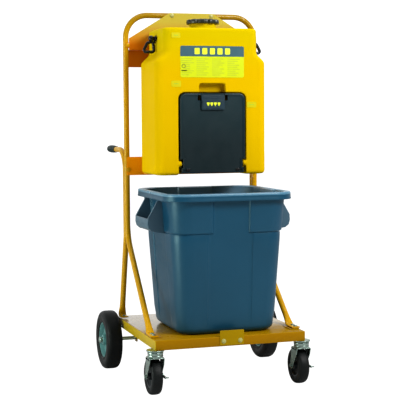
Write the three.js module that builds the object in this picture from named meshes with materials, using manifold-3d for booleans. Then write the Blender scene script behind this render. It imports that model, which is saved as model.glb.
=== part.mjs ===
// Mobile gravity-fed eyewash station: a wheeled tube frame that carries a water tank with a
// drop-down spray door, over a square waste-water container.
// Millimetres, +Z up, +X to the station's right, front towards -Y, origin on the floor under its middle.
import * as THREE from 'three';
import { mergeVertices } from 'three/addons/utils/BufferGeometryUtils.js';
import Module from 'manifold-3d';

const wasm = await Module();
wasm.setup();

// ---------------------------------------------------------------- driving dimensions
const gap = 0.3; // left between pieces that touch
const sheet = 2.5; // thickness of the frame's bent sheet

const deck = { halfWidth: 318, halfDepth: 311, top: 225, skirt: 39 };

const tube = { radius: 12, sides: 12, uprightX: 292, footX: 303, frontY: 213, topZ: 1537, forkZ: 585 };
const braceFootY = -208;
const legFootY = 290;
const bowBend = 95;
const forkBend = 140;
const handle = { z: 959, bend: 95, endY: 528, gripLength: 128, gripRadius: 15 };

const tank = {
  bottom: 861, shoulder: 1329, neckStart: 1362, top: 1466,
  lowHalf: 241, highHalf: 204, front: -82, back: 186, corner: 36, edge: 12, wall: 5,
};
const pocket = { half: 147, top: 1201, back: 45 };
const fingerRecess = { half: 57, top: 1238, depth: 34 };
const filler = { y: 45, neckRadius: 56, boreRadius: 46, neckTop: 1500 };
const cap = { radius: 70, bottom: 1489, top: 1508, dish: 46, dishDepth: 2.4, lobes: 10 };

const door = { half: 141, bottom: 868, top: 1197, front: -88, depth: 30, wall: 4, corner: 20 };
const hinge = { y: -72, z: 908, bossRadius: 12, bossInner: 132, pinRadius: 5, clearance: 5 };
const tab = { half: 50, top: 1190, bottom: 1129, front: -96, back: -88.6 };
const spray = { riserTop: 1075, headX: 52, pipe: 9, headRadius: 20, swivelX: -52 };
const outlet = { x: -84, bore: 8, flange: 16 };
const tabPivot = { y: -91.5, z: 1183, radius: 4 };
const loop = { x: 219, y: 45, z: 1427, ball: 12.5, eye: 10, thickness: 13, openShare: 0.45 };

const plate = { front: 198.2, topHalf: 99, sideHalf: 281, top: 1548, sideTop: 1437, bottom: 1387, lip: 22 };
const hangerBar = { top: 1386.7, bottom: 1315, y: 213 };
const supportBar = { half: 296, top: 931, bottom: 852, shelfFront: 138, shelfHalf: 225 };

const bin = {
  x: 8, y: -51, rimHalf: 273, rimCorner: 95, rimTop: 797, rimHeight: 30,
  topHalf: 244, bottomHalf: 205, bottomCorner: 66, footRound: 26, wall: 4,
  panelEdge: 74, panelRaise: 7, panelBottom: 637,
};
const binHandle = { halfLength: 98, reach: 38, armWidth: 9 };

const rearWheel = { radius: 127, width: 68, x: 361, y: 291, rimRadius: 76, hubRadius: 22 };
const axleRadius = 8;
const caster = { x: 311, y: -285, plateRadius: 37.5, wheelRadius: 74, wheelWidth: 44, trail: 32, coreRadius: 48 };
const fork = { under: 158, raceRadius: 37, legInside: 28, legOutside: 31, back: 34 };
const lever = { inside: 34.6, outside: 38.4, eye: 11, pedalEnd: 50, pedalFront: -56 };
const casterBolt = { radius: 5, head: 9, left: -38, right: 42 };
const kingpinRadius = 11;
const bracketHalf = 120;

const paint = material(0xd99a12, 0.35, 0.1);
const tankPlastic = material(0xf2c40c, 0.45, 0);
const darkPlastic = material(0x23303a, 0.45, 0);
const tabPlastic = material(0x44586a, 0.4, 0);
const blackRubber = material(0x14181b, 0.7, 0);
const binPlastic = material(0x2a5773, 0.5, 0);
const zinc = material(0xaab9b4, 0.3, 0.9);
const labelFilm = material(0xdff02a, 0.5, 0);
const greyPlastic = material(0x8d979b, 0.5, 0);

// ---------------------------------------------------------------- helpers
function material(color, roughness, metalness) {
  return new THREE.MeshStandardMaterial({ color, roughness, metalness });
}

// Closed three.js geometry -> solid that can be cut and joined.
function solid(geometry) {
  const bare = new THREE.BufferGeometry();
  bare.setAttribute('position', geometry.getAttribute('position'));
  if (geometry.index) bare.setIndex(geometry.index);
  const merged = mergeVertices(bare, 1e-3);
  const corners = merged.index.array;
  const triVerts = [];
  for (let i = 0; i < corners.length; i += 3) {
    const [a, b, c] = corners.slice(i, i + 3);
    if (a !== b && b !== c && c !== a) triVerts.push(a, b, c);
  }
  const vertProperties = new Float32Array(merged.getAttribute('position').array);
  const mesh = new wasm.Mesh({ numProp: 3, vertProperties, triVerts: new Uint32Array(triVerts) });
  return new wasm.Manifold(mesh);
}

function join(first, ...others) {
  return others.reduce((whole, next) => whole.add(next), first);
}

function cut(base, ...tools) {
  return tools.reduce((whole, tool) => whole.subtract(tool), base);
}

function meshOf(name, shape, look) {
  const result = shape.getMesh();
  const geometry = new THREE.BufferGeometry();
  geometry.setAttribute('position', new THREE.BufferAttribute(new Float32Array(result.vertProperties), 3));
  geometry.setIndex(new THREE.BufferAttribute(new Uint32Array(result.triVerts), 1));
  geometry.computeVertexNormals();
  const mesh = new THREE.Mesh(geometry, look);
  mesh.name = name;
  return mesh;
}

function block([x0, x1], [y0, y1], [z0, z1]) {
  const geometry = new THREE.BoxGeometry(x1 - x0, y1 - y0, z1 - z0);
  return solid(geometry.translate((x0 + x1) / 2, (y0 + y1) / 2, (z0 + z1) / 2));
}

// Turn a shape made around +Y so that it lies along the named axis.
function along(geometry, axis) {
  if (axis === 'x') geometry.rotateZ(-Math.PI / 2);
  if (axis === 'z') geometry.rotateX(Math.PI / 2);
  return geometry;
}

// Round bar from one place to another along one axis.
function bar(axis, radius, from, to, centre, sides = 20) {
  const geometry = along(new THREE.CylinderGeometry(radius, radius, to - from, sides), axis);
  const place = new THREE.Vector3(...centre);
  place[axis] = (from + to) / 2;
  return solid(geometry.translate(place.x, place.y, place.z));
}

// Profile of [radius, height] pairs turned around an axis; heights grow along that axis.
function turned(profile, axis, centre = [0, 0, 0], segments = 32) {
  const points = profile.map(([radius, height]) => new THREE.Vector2(radius, height));
  const geometry = new THREE.LatheGeometry(points, segments);
  if (axis === 'x') geometry.rotateZ(-Math.PI / 2);
  if (axis === 'z') geometry.rotateX(Math.PI / 2);
  return solid(geometry.translate(...centre));
}

function rounded(halfX, halfY, radius, steps = 4) {
  const points = [];
  const centres = [[1, 1], [-1, 1], [-1, -1], [1, -1]];
  centres.forEach(([sx, sy], corner) => {
    for (let i = 0; i <= steps; i += 1) {
      const angle = (corner + i / steps) * (Math.PI / 2);
      const x = sx * (halfX - radius) + radius * Math.cos(angle);
      const y = sy * (halfY - radius) + radius * Math.sin(angle);
      points.push(new THREE.Vector2(x, y));
    }
  });
  return points;
}

// Outline in the X-Z plane, extruded towards +Y from y.
function slab(points, y, depth) {
  const shape = new THREE.Shape(points.map(([x, z]) => new THREE.Vector2(x, z)));
  const geometry = new THREE.ExtrudeGeometry(shape, { depth, bevelEnabled: false, steps: 1 });
  return solid(geometry.rotateX(Math.PI / 2).translate(0, y + depth, 0));
}

// Outline in the Y-Z plane, extruded towards +X from x.
function sideSlab(points, x, depth) {
  const shape = new THREE.Shape(points.map(([y, z]) => new THREE.Vector2(y, z)));
  const geometry = new THREE.ExtrudeGeometry(shape, { depth, bevelEnabled: false, steps: 1 });
  geometry.rotateX(Math.PI / 2).rotateZ(Math.PI / 2);
  return solid(geometry.translate(x, 0, 0));
}

// Skin over a stack of outlines with equal point counts, lowest first.
function loft(rings) {
  const count = rings[0].points.length;
  const positions = [];
  const triangles = [];
  rings.forEach(({ z, points }) => points.forEach((p) => positions.push(p.x, p.y, z)));
  for (let ring = 0; ring + 1 < rings.length; ring += 1) {
    for (let i = 0; i < count; i += 1) {
      const a = ring * count + i;
      const b = ring * count + ((i + 1) % count);
      triangles.push(a, b, b + count, a, b + count, a + count);
    }
  }
  const last = (rings.length - 1) * count;
  const caps = [[0, rings[0].z], [last, rings[rings.length - 1].z]];
  caps.forEach(([start, z]) => {
    const centre = positions.length / 3;
    positions.push(...centreOf(positions, start, count), z);
    for (let i = 0; i < count; i += 1) {
      const a = start + i;
      const b = start + ((i + 1) % count);
      triangles.push(...(start === 0 ? [centre, b, a] : [centre, a, b]));
    }
  });
  const geometry = new THREE.BufferGeometry();
  geometry.setAttribute('position', new THREE.Float32BufferAttribute(positions, 3));
  geometry.setIndex(triangles);
  return solid(geometry);
}

function centreOf(positions, start, count) {
  const ring = Array.from({ length: count }, (_, i) => start + i);
  const mean = (offset) => ring.reduce((sum, i) => sum + positions[3 * i + offset], 0) / count;
  return [mean(0), mean(1)];
}

// Centreline of a bent tube: straight legs between corners, each corner rounded to its own radius.
class BentLine extends THREE.Curve {
  constructor(corners, radii, arcSteps = 6) {
    super();
    this.knots = [corners[0]];
    for (let i = 1; i + 1 < corners.length; i += 1) {
      this.addBend(corners[i - 1], corners[i], corners[i + 1], radii[i - 1], arcSteps);
    }
    this.knots.push(corners[corners.length - 1]);
  }

  addBend(before, corner, after, radius, steps) {
    const back = before.clone().sub(corner).normalize();
    const ahead = after.clone().sub(corner).normalize();
    const half = back.angleTo(ahead) / 2;
    const middle = back.clone().add(ahead).normalize().multiplyScalar(radius / Math.sin(half));
    const centre = corner.clone().add(middle);
    const start = corner.clone().addScaledVector(back, radius / Math.tan(half)).sub(centre);
    const axis = new THREE.Vector3().crossVectors(back, start).normalize();
    const sweep = Math.PI - 2 * half;
    for (let i = 0; i <= steps; i += 1) {
      this.knots.push(start.clone().applyAxisAngle(axis, (sweep * i) / steps).add(centre));
    }
  }

  getPoint(t) {
    const place = t * (this.knots.length - 1);
    const index = Math.min(Math.floor(place), this.knots.length - 2);
    return this.knots[index].clone().lerp(this.knots[index + 1], place - index);
  }

  getPointAt(t) {
    return this.getPoint(t);
  }

  getTangentAt(t) {
    const index = Math.round(t * (this.knots.length - 1));
    const before = this.knots[Math.max(index - 1, 0)];
    const here = this.knots[index];
    const after = this.knots[Math.min(index + 1, this.knots.length - 1)];
    const incoming = here.clone().sub(before).normalize();
    return incoming.add(after.clone().sub(here).normalize()).normalize();
  }
}

function bentTube(corners, radii, radius = tube.radius, sides = tube.sides) {
  const path = new BentLine(corners.map((p) => new THREE.Vector3(...p)), radii);
  const section = new THREE.Shape();
  for (let i = 0; i < sides; i += 1) {
    const angle = (2 * Math.PI * (i + 0.5)) / sides;
    const point = [radius * Math.cos(angle), radius * Math.sin(angle)];
    if (i === 0) section.moveTo(...point);
    else section.lineTo(...point);
  }
  const steps = path.knots.length - 1;
  return solid(new THREE.ExtrudeGeometry(section, { steps, extrudePath: path, curveSegments: 1 }));
}

// Everything below a level, used to trim a sloping tube where it stands.
function below(level) {
  return block([-500, 500], [-500, 700], [0, level]);
}

// ---------------------------------------------------------------- cart frame
function deckPan() {
  const { halfWidth: w, halfDepth: d, top, skirt } = deck;
  const outer = loft([
    { z: top - skirt, points: rounded(w, d, 4, 2) },
    { z: top, points: rounded(w, d, 4, 2) },
  ]);
  const inside = block([-w + sheet, w - sheet], [-d + sheet, d - sheet], [top - skirt - 1, top - sheet]);
  return meshOf('deck_pan', cut(outer, inside), paint);
}

function mainTube() {
  const { uprightX: x, footX, frontY: y, topZ, forkZ } = tube;
  const left = [[-footX, braceFootY, deck.top - 20], [-x, y, forkZ], [-x, y, topZ]];
  const right = left.map(([px, py, pz]) => [-px, py, pz]).reverse();
  const bends = [forkBend, bowBend, bowBend, forkBend];
  const onFootPlates = deck.top + sheet + gap;
  return meshOf('main_tube', cut(bentTube([...left, ...right], bends), below(onFootPlates)), paint);
}

function rearTube(side, name) {
  const y = tube.frontY + 2 * tube.radius + gap;
  const x = side * tube.uprightX;
  const corners = [
    [side * tube.footX, legFootY, deck.top - 20], [x, y, tube.forkZ],
    [x, y, handle.z], [x, handle.endY, handle.z],
  ];
  return meshOf(name, cut(bentTube(corners, [forkBend, handle.bend]), below(deck.top + gap)), paint);
}

function handleGrip(side, name) {
  const start = handle.endY - handle.gripLength;
  const inner = tube.radius + gap;
  const outer = handle.gripRadius;
  const end = handle.gripLength + 8;
  const profile = [
    [inner, 0], [outer + 3, 0], [outer + 3, 6], [outer, 10], [outer, end - 8],
    [outer - 4, end], [0, end], [0, handle.gripLength + gap], [inner, handle.gripLength + gap], [inner, 0],
  ];
  const centre = [side * tube.uprightX, start, handle.z];
  return meshOf(name, turned(profile, 'y', centre, 20), blackRubber);
}

function footPlate(side, y, name) {
  const x = side * (tube.footX - 8);
  const shape = block([x - 22, x + 22], [y - 45, y + 30], [deck.top + gap, deck.top + sheet]);
  return meshOf(name, shape, paint);
}

function upperPlate() {
  const { front, topHalf, sideHalf, top, sideTop, bottom, lip } = plate;
  const earHalf = supportBar.half;
  const outline = [
    [-sideHalf, bottom], [sideHalf, bottom], [sideHalf, bottom + 10], [earHalf, bottom + 10],
    [earHalf, bottom + 32], [sideHalf, bottom + 32], [sideHalf, sideTop], [topHalf, top],
    [-topHalf, top], [-sideHalf, sideTop], [-sideHalf, bottom + 32], [-earHalf, bottom + 32],
    [-earHalf, bottom + 10], [-sideHalf, bottom + 10],
  ];
  const clearOfTube = tube.uprightX - tube.radius - 2;
  const fold = block([-clearOfTube, clearOfTube], [front, front + lip], [bottom, bottom + sheet]);
  return meshOf('upper_plate', join(slab(outline, front, sheet), fold), paint);
}

function hangerBarMesh() {
  const reach = tube.uprightX - tube.radius - gap;
  const { top, bottom, y } = hangerBar;
  const web = block([-reach, reach], [y, y + sheet], [bottom, top]);
  const flange = block([-reach, reach], [y, y + 14], [bottom, bottom + sheet]);
  return meshOf('hanger_bar', join(web, flange), paint);
}

function tankBracket() {
  const { top, bottom, y } = hangerBar;
  const back = y - gap;
  const ahead = tank.back + gap;
  const [low, high] = [bottom + 8, top - 8];
  const wide = [-bracketHalf, bracketHalf];
  const face = block(wide, [ahead, ahead + sheet], [low, high]);
  const webs = [low, high - sheet].map((z) => block(wide, [ahead, back], [z, z + sheet]));
  const ends = [-bracketHalf, bracketHalf - sheet].map((x) => block([x, x + sheet], [ahead, back], [low, high]));
  return meshOf('tank_bracket', join(face, ...webs, ...ends), zinc);
}

function lowerSupportBar() {
  const { half, top, bottom, shelfFront, shelfHalf } = supportBar;
  const { front } = plate;
  const web = block([-half, half], [front, front + sheet], [bottom, top]);
  const shelfTop = tank.bottom - gap;
  const shelf = block([-shelfHalf, shelfHalf], [shelfFront, front + 1], [shelfTop - sheet, shelfTop]);
  return meshOf('lower_support_bar', join(web, shelf), paint);
}

function frontStopPlate() {
  const y = -deck.halfDepth - gap - sheet;
  return meshOf('front_stop_plate', block([-51, 51], [y, y + sheet], [190, deck.top + 25]), paint);
}

function frontCrossMember() {
  const { halfWidth: w, halfDepth: d, top, skirt } = deck;
  const reach = w - sheet - gap;
  const high = top - sheet - gap;
  const ys = [-d + sheet + gap + 2, -d + 70];
  const outer = block([-reach, reach], ys, [top - skirt + gap, high]);
  const inside = block([-reach - 1, reach + 1], [ys[0] + sheet, ys[1] - sheet], [0, high - sheet]);
  return meshOf('front_cross_member', cut(outer, inside), paint);
}

function boltHead(axis, sign, centre, radius, height) {
  const hex = along(new THREE.CylinderGeometry(radius, radius, height, 6), axis);
  const place = new THREE.Vector3(...centre);
  place[axis] += sign * (height / 2 + gap);
  return solid(hex.translate(place.x, place.y, place.z));
}

function fasteners() {
  const frontOfStop = -deck.halfDepth - gap - sheet;
  const places = {
    top_bolt: [89, plate.front, tube.topZ],
    side_bolt: [tube.uprightX - 4, plate.front, plate.bottom + 21],
    lower_bolt: [tube.uprightX - 4, plate.front, supportBar.bottom + 24],
    stop_bolt: [35, frontOfStop, 207],
  };
  const meshes = [];
  for (const [name, [x, y, z]] of Object.entries(places)) {
    for (const [side, label] of [[-1, 'left'], [1, 'right']]) {
      meshes.push(meshOf(`${name}_${label}`, boltHead('y', -1, [side * x, y, z], 6.5, 4), zinc));
    }
  }
  return meshes;
}

// ---------------------------------------------------------------- rear axle and wheels
function axle() {
  const reach = rearWheel.x + rearWheel.width / 2 + 2;
  const centre = [0, rearWheel.y, rearWheel.radius];
  return meshOf('rear_axle', bar('x', axleRadius, -reach, reach, centre), zinc);
}

function axleBracket(side, name) {
  const { y, radius: z } = rearWheel;
  const x = side * 238;
  const high = deck.top - sheet - gap;
  const outline = [[y - 34, high], [y - 14, z - 16], [y + 14, z - 16], [y + 17, high]];
  const web = sideSlab(outline, x - 2.5, 5);
  const bore = bar('x', axleRadius + gap, x - 5, x + 5, [0, y, z]);
  const foot = block([x - 20, x + 20], [y - 34, y + 17], [high - sheet, high]);
  return meshOf(name, join(cut(web, bore), foot), paint);
}

function tyreProfile(inner, outer, half, bevel) {
  return [
    [inner, -half], [outer - bevel, -half], [outer - 3, -half + bevel * 0.7], [outer, -half + bevel * 1.6],
    [outer, half - bevel * 1.6], [outer - 3, half - bevel * 0.7], [outer - bevel, half], [inner, half],
    [inner, -half],
  ];
}

function wheelDisc(rimRadius, half, hubRadius, bore) {
  return [
    [bore, -half + 2], [hubRadius, -half + 2], [hubRadius, -6], [rimRadius - 8, -4], [rimRadius - 6, -half + 8],
    [rimRadius, -half + 8], [rimRadius, half - 8], [rimRadius - 6, half - 8], [rimRadius - 8, 4],
    [hubRadius, 6], [hubRadius, half - 2], [bore, half - 2], [bore, -half + 2],
  ];
}

function rearWheelGroup(side, label) {
  const group = new THREE.Group();
  group.position.set(side * rearWheel.x, rearWheel.y, rearWheel.radius);
  const half = rearWheel.width / 2;
  const { rimRadius, hubRadius, radius } = rearWheel;
  const tyre = turned(tyreProfile(rimRadius + gap, radius, half, 14), 'x', [0, 0, 0], 36);
  const disc = turned(wheelDisc(rimRadius, half, hubRadius, axleRadius + gap), 'x', [0, 0, 0], 24);
  const capProfile = [[0, 0], [14, 0], [14, 5], [9, 9], [0, 10], [0, 0]];
  const outward = side * (half + 2 + gap);
  const hubCap = turned(side > 0 ? capProfile : mirrored(capProfile), 'x', [outward, 0, 0], 16);
  group.add(meshOf(`rear_tyre_${label}`, tyre, blackRubber));
  group.add(meshOf(`rear_wheel_disc_${label}`, disc, zinc));
  group.add(meshOf(`hub_cap_${label}`, hubCap, zinc));
  return group;
}

function mirrored(profile) {
  return profile.map(([radius, height]) => [radius, -height]).reverse();
}

// ---------------------------------------------------------------- swivel casters
function casterGroup(side, label) {
  const group = new THREE.Group();
  group.position.set(side * caster.x, caster.y, 0);
  const plateTop = deck.top - deck.skirt - gap;
  const plateBottom = plateTop - 5;
  const mounting = bar('z', caster.plateRadius, plateBottom, plateTop, [0, 0, 0], 32);
  const kingpin = bar('z', kingpinRadius, plateBottom - 14, plateBottom + 1, [0, 0, 0], 20);
  group.add(meshOf(`caster_plate_${label}`, join(mounting, kingpin), zinc));
  group.add(meshOf(`caster_fork_${label}`, casterFork(plateBottom), zinc));

  const hub = new THREE.Group();
  hub.position.set(0, caster.trail, caster.wheelRadius);
  const wide = caster.wheelWidth / 2;
  const tyre = turned(tyreProfile(caster.coreRadius + gap, caster.wheelRadius, wide, 9), 'x', [0, 0, 0], 28);
  const core = turned(wheelDisc(caster.coreRadius, wide + 2, 14, casterBolt.radius + gap), 'x', [0, 0, 0], 20);
  const bolt = join(
    bar('x', casterBolt.radius, casterBolt.left + 4, casterBolt.right - 2, [0, 0, 0], 16),
    bar('x', casterBolt.head, casterBolt.left, -fork.legOutside - gap, [0, 0, 0], 6),
    bar('x', casterBolt.head, lever.outside + 0.8, casterBolt.right, [0, 0, 0], 6),
  );
  hub.add(meshOf(`caster_tyre_${label}`, tyre, blackRubber));
  hub.add(meshOf(`caster_core_${label}`, core, darkPlastic));
  hub.add(meshOf(`caster_axle_${label}`, bolt, zinc));
  hub.add(meshOf(`brake_lever_${label}`, brakeLever(), zinc));
  group.add(hub);
  return group;
}

function casterFork(plateBottom) {
  const crown = plateBottom - gap;
  const { under, raceRadius, legInside, legOutside, back } = fork;
  const { trail, wheelRadius: hubZ } = caster;
  const throatRadius = kingpinRadius + gap;
  const race = turned([
    [throatRadius, under - 4], [raceRadius - 3, under - 4], [raceRadius, under + 4], [raceRadius, crown - 4],
    [raceRadius - 4, crown], [throatRadius, crown], [throatRadius, under - 4],
  ], 'z', [0, 0, 0], 20);
  const top = block([-legOutside, legOutside], [-28, back], [under - 7, under - 3]);
  const throat = bar('z', throatRadius, under - 12, under, [0, 0, 0], 20);
  const outline = [
    [-26, under - 3], [trail - 13, hubZ - 4], [trail - 6, hubZ - 13],
    [trail + 6, hubZ - 13], [trail + 13, hubZ - 4], [back, under - 3],
  ];
  const legs = [-legOutside, legInside].map((x) => sideSlab(outline, x, legOutside - legInside));
  const bore = bar('x', casterBolt.radius + gap, -40, 40, [0, trail, hubZ], 16);
  return cut(join(race, cut(top, throat), ...legs), bore);
}

// Lever that turns on the wheel bolt and reaches forward beside the fork.
function brakeLever() {
  const { inside, outside, pedalEnd, pedalFront } = lever;
  const eye = bar('x', lever.eye, inside, outside, [0, 0, 0], 20);
  const arm = block([inside, outside], [pedalFront + 12, 0], [-5, 5]);
  const pedal = block([inside, pedalEnd], [pedalFront, pedalFront + 14], [-4, 4]);
  const bore = bar('x', casterBolt.radius + gap, inside - 5, outside + 5, [0, 0, 0], 16);
  return cut(join(eye, arm, pedal), bore);
}

// ---------------------------------------------------------------- tank
// Quarter-round edge as [rise, pull-in] pairs, from the flat face to the upright wall.
function edgeRound(radius, steps = 3) {
  return Array.from({ length: steps + 1 }, (_, i) => {
    const angle = (i / steps) * (Math.PI / 2);
    return [radius * (1 - Math.cos(angle)), radius * (1 - Math.sin(angle))];
  });
}

// Outlines of the tank from bottom to top; a positive inset gives the water space inside its wall.
function tankRings(inset) {
  const { bottom, shoulder, neckStart, top, lowHalf, highHalf, corner, edge, front, back } = tank;
  const ring = (z, half, pull) => {
    const points = rounded(half - pull - inset, (back - front) / 2 - pull - inset, corner - inset / 2);
    points.forEach((p) => p.setY(p.y + (front + back) / 2));
    return { z, points };
  };
  const foot = edgeRound(edge).map(([rise, pull]) => ring(bottom + inset + rise, lowHalf, pull));
  const head = edgeRound(edge).map(([rise, pull]) => ring(top - inset - rise, highHalf, pull));
  return [...foot, ring(shoulder, lowHalf, 0), ring(neckStart, highHalf, 0), ...head.reverse()];
}

function tankShell() {
  const { front, wall, bottom } = tank;
  const outer = loft(tankRings(0));
  const spout = bar('z', filler.neckRadius, tank.top - 4, filler.neckTop, [0, filler.y, 0], 32);
  const pocketRoom = block([-pocket.half, pocket.half], [front - 20, pocket.back], [bottom - 10, pocket.top]);
  const fingers = slab([
    [-fingerRecess.half, pocket.top - 5], [fingerRecess.half, pocket.top - 5],
    [fingerRecess.half, fingerRecess.top], [-fingerRecess.half, fingerRecess.top],
  ], front - 20, 20 + fingerRecess.depth);
  const pocketWall = block(
    [-pocket.half - wall, pocket.half + wall], [front - 20, pocket.back + wall],
    [bottom - 10, pocket.top + wall],
  );
  const fingerWall = block(
    [-fingerRecess.half - wall, fingerRecess.half + wall],
    [front - 20, front + fingerRecess.depth + wall], [pocket.top - 5, fingerRecess.top + wall],
  );
  const water = cut(loft(tankRings(wall)), pocketWall, fingerWall);
  const throat = bar('z', filler.boreRadius, tank.top - 20, filler.neckTop + 5, [0, filler.y, 0], 32);
  const drain = bar('y', outlet.bore, pocket.back - 5, pocket.back + wall + 10, [outlet.x, 0, hinge.z], 16);
  const bosses = [-1, 1].map((side) => hingeBoss(side));
  const hollow = cut(join(outer, spout), pocketRoom, fingers, water, throat, drain);
  return meshOf('tank_shell', join(hollow, ...bosses), tankPlastic);
}

function hingeBoss(side) {
  const { y, z, bossRadius, bossInner, pinRadius } = hinge;
  const [near, far] = [bossInner, pocket.half + 2];
  const span = side > 0 ? [near, far] : [-far, -near];
  const boss = bar('x', bossRadius, ...span, [0, y, z], 24);
  const depth = side > 0 ? [near - 1, far - 6] : [-far + 6, -near + 1];
  return cut(boss, bar('x', pinRadius + gap, ...depth, [0, y, z], 16));
}

function hingePin(side, name) {
  const { y, z, pinRadius, bossInner } = hinge;
  const span = side > 0 ? [bossInner - 14, pocket.half - 6] : [-pocket.half + 6, -bossInner + 14];
  return meshOf(name, bar('x', pinRadius, ...span, [0, y, z], 16), zinc);
}

// Pipe from the tank's outlet, turning onto the hinge axis, where the door's manifold swivels on it.
function outletElbow() {
  const { x, bore, flange } = outlet;
  const path = [[x, pocket.back - gap, hinge.z], [x, hinge.y, hinge.z], [spray.swivelX, hinge.y, hinge.z]];
  const pipe = bentTube(path, [18], bore + 1, 12);
  const collar = bar('y', flange, pocket.back - 6, pocket.back - gap, [x, 0, hinge.z], 20);
  return meshOf('outlet_elbow', join(pipe, collar), greyPlastic);
}

function fillerCap() {
  const { radius, bottom, top, dish, dishDepth, lobes } = cap;
  const { y, neckRadius, neckTop } = filler;
  const body = turned([
    [0, bottom], [radius - 5, bottom], [radius - 3, bottom + 3], [radius - 3, top - 4], [radius - 8, top],
    [0, top], [0, bottom],
  ], 'z', [0, y, 0], 32);
  const lugs = Array.from({ length: lobes }, (_, i) => {
    const angle = (2 * Math.PI * i) / lobes;
    const reach = radius - 9;
    const centre = [reach * Math.cos(angle), y + reach * Math.sin(angle), 0];
    return bar('z', 9, bottom + 4, top - 5, centre, 10);
  });
  const room = bar('z', neckRadius + 1.5, bottom - 5, neckTop + 3.2, [0, y, 0], 32);
  const hollow = bar('z', dish, top - dishDepth, top + 5, [0, y, 0], 24);
  const rib = block([-dish + 2, dish - 2], [y - 5, y + 5], [top - dishDepth - 1, top - 0.5]);
  return meshOf('filler_cap', join(cut(join(body, ...lugs), room, hollow), rib), blackRubber);
}

function capSeal() {
  const { y, neckRadius, boreRadius, neckTop } = filler;
  const profile = [
    [boreRadius + 1, neckTop + gap], [neckRadius - 1, neckTop + gap],
    [neckRadius - 1, neckTop + 2.8], [boreRadius + 1, neckTop + 2.8], [boreRadius + 1, neckTop + gap],
  ];
  return meshOf('cap_seal', turned(profile, 'z', [0, y, 0], 32), blackRubber);
}

function instructionLabel() {
  const outline = rounded(138, 64.5, 8, 3).map((p) => [p.x, p.y + 1326.5]);
  return meshOf('instruction_label', slab(outline, tank.front - gap - 0.8, 0.8), labelFilm);
}

function loopStud(side, label) {
  const { x, y, z } = loop;
  const ball = new THREE.SphereGeometry(loop.ball, 14, 8).translate(side * (x + 6), y, z);
  const from = tank.highHalf + gap;
  const stem = bar('x', 5, ...(side > 0 ? [from, x] : [-x, -from]), [0, y, z], 16);
  const washer = bar('x', 11, ...(side > 0 ? [from, from + 2] : [-from - 2, -from]), [0, y, z], 20);
  return meshOf(`loop_stud_${label}`, join(solid(ball), stem, washer), blackRubber);
}

// Three-sided ring hanging from an eye on the stud.
function carryLoop(side, label) {
  const { x, y, z, thickness, openShare } = loop;
  const eyeAt = tank.highHalf + 3.2;
  const eye = bar('x', loop.eye, ...(side > 0 ? [eyeAt, eyeAt + 4.5] : [-eyeAt - 4.5, -eyeAt]), [0, y, z], 20);
  const corners = [[eyeAt + 2, z - 9], [x - 13, z - 62], [x + 50, z - 62], [x + 28, z - 26]];
  const outer = corners.map(([px, pz]) => new THREE.Vector2(side * px, pz));
  const centre = new THREE.Vector2(side * (x + 11), z - 43);
  const inner = outer.map((corner) => centre.clone().lerp(corner, openShare));
  const order = (points) => (side > 0 ? points : [...points].reverse()).map((p) => [p.x, p.y]);
  const band = slab(order(outer), y - thickness / 2, thickness);
  const ring = cut(band, slab(order(inner), y - thickness, 2 * thickness));
  const bore = bar('x', 5 + gap, ...(side > 0 ? [190, 225] : [-225, -190]), [0, y, z], 16);
  const ballRoom = new THREE.SphereGeometry(loop.ball + 1, 14, 8).translate(side * (x + 6), y, z);
  return meshOf(`carry_loop_${label}`, cut(join(ring, eye), bore, solid(ballRoom)), blackRubber);
}

// ---------------------------------------------------------------- spray door
function doorOutline(inset) {
  const { half, top, bottom, corner } = door;
  const notchX = hinge.bossInner - 3;
  const notchReach = hinge.bossRadius + hinge.clearance;
  const [notchLow, notchTop] = [hinge.z - notchReach - inset, hinge.z + notchReach + inset];
  const footHalf = half - 5;
  const left = [];
  const steps = 5;
  for (let i = 0; i <= steps; i += 1) {
    const angle = Math.PI / 2 + (i / steps) * (Math.PI / 2);
    const radius = corner - inset;
    left.push([-half + corner + radius * Math.cos(angle), top - corner + radius * Math.sin(angle)]);
  }
  left.push([-half + inset, notchTop], [-notchX + inset, notchTop], [-notchX + inset, notchLow]);
  left.push([-footHalf + inset, notchLow], [-footHalf + inset, bottom + inset]);
  const right = left.map(([x, z]) => [-x, z]).reverse();
  return [...left, ...right];
}

// Shallow tray, open towards the tank, with room in its lower edge for the outlet pipe.
function sprayDoor() {
  const { front, depth, wall, bottom, top } = door;
  const body = slab(doorOutline(0), front, depth);
  const tray = slab(doorOutline(wall), front + wall, depth);
  const tabSeat = block([-tab.half - 3, tab.half + 3], [front - 1, front + 2], [tab.bottom - 3, top + 5]);
  const pipeRoom = outlet.bore + 5;
  const notch = block([outlet.x - pipeRoom, outlet.x + pipeRoom], [front + wall, 0], [bottom - 1, bottom + 10]);
  const bores = bar('x', hinge.pinRadius + gap, -130, 130, [0, hinge.y, hinge.z], 16);
  return meshOf('spray_door', cut(body, tray, tabSeat, notch, bores), darkPlastic);
}

function pullTab() {
  const { half, top, bottom, front, back } = tab;
  const outline = rounded(half, (top - bottom) / 2, 6, 3).map((p) => [p.x, p.y + (top + bottom) / 2]);
  const face = slab(outline, front, back - front);
  const knuckle = bar('x', tabPivot.radius, -half + 2, half - 2, [0, tabPivot.y, tabPivot.z], 16);
  const nook = block([-half + 10, half - 10], [front + 3, back + 1], [bottom - 1, bottom + 26]);
  return meshOf('pull_tab', cut(join(face, knuckle), nook), tabPlastic);
}

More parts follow.
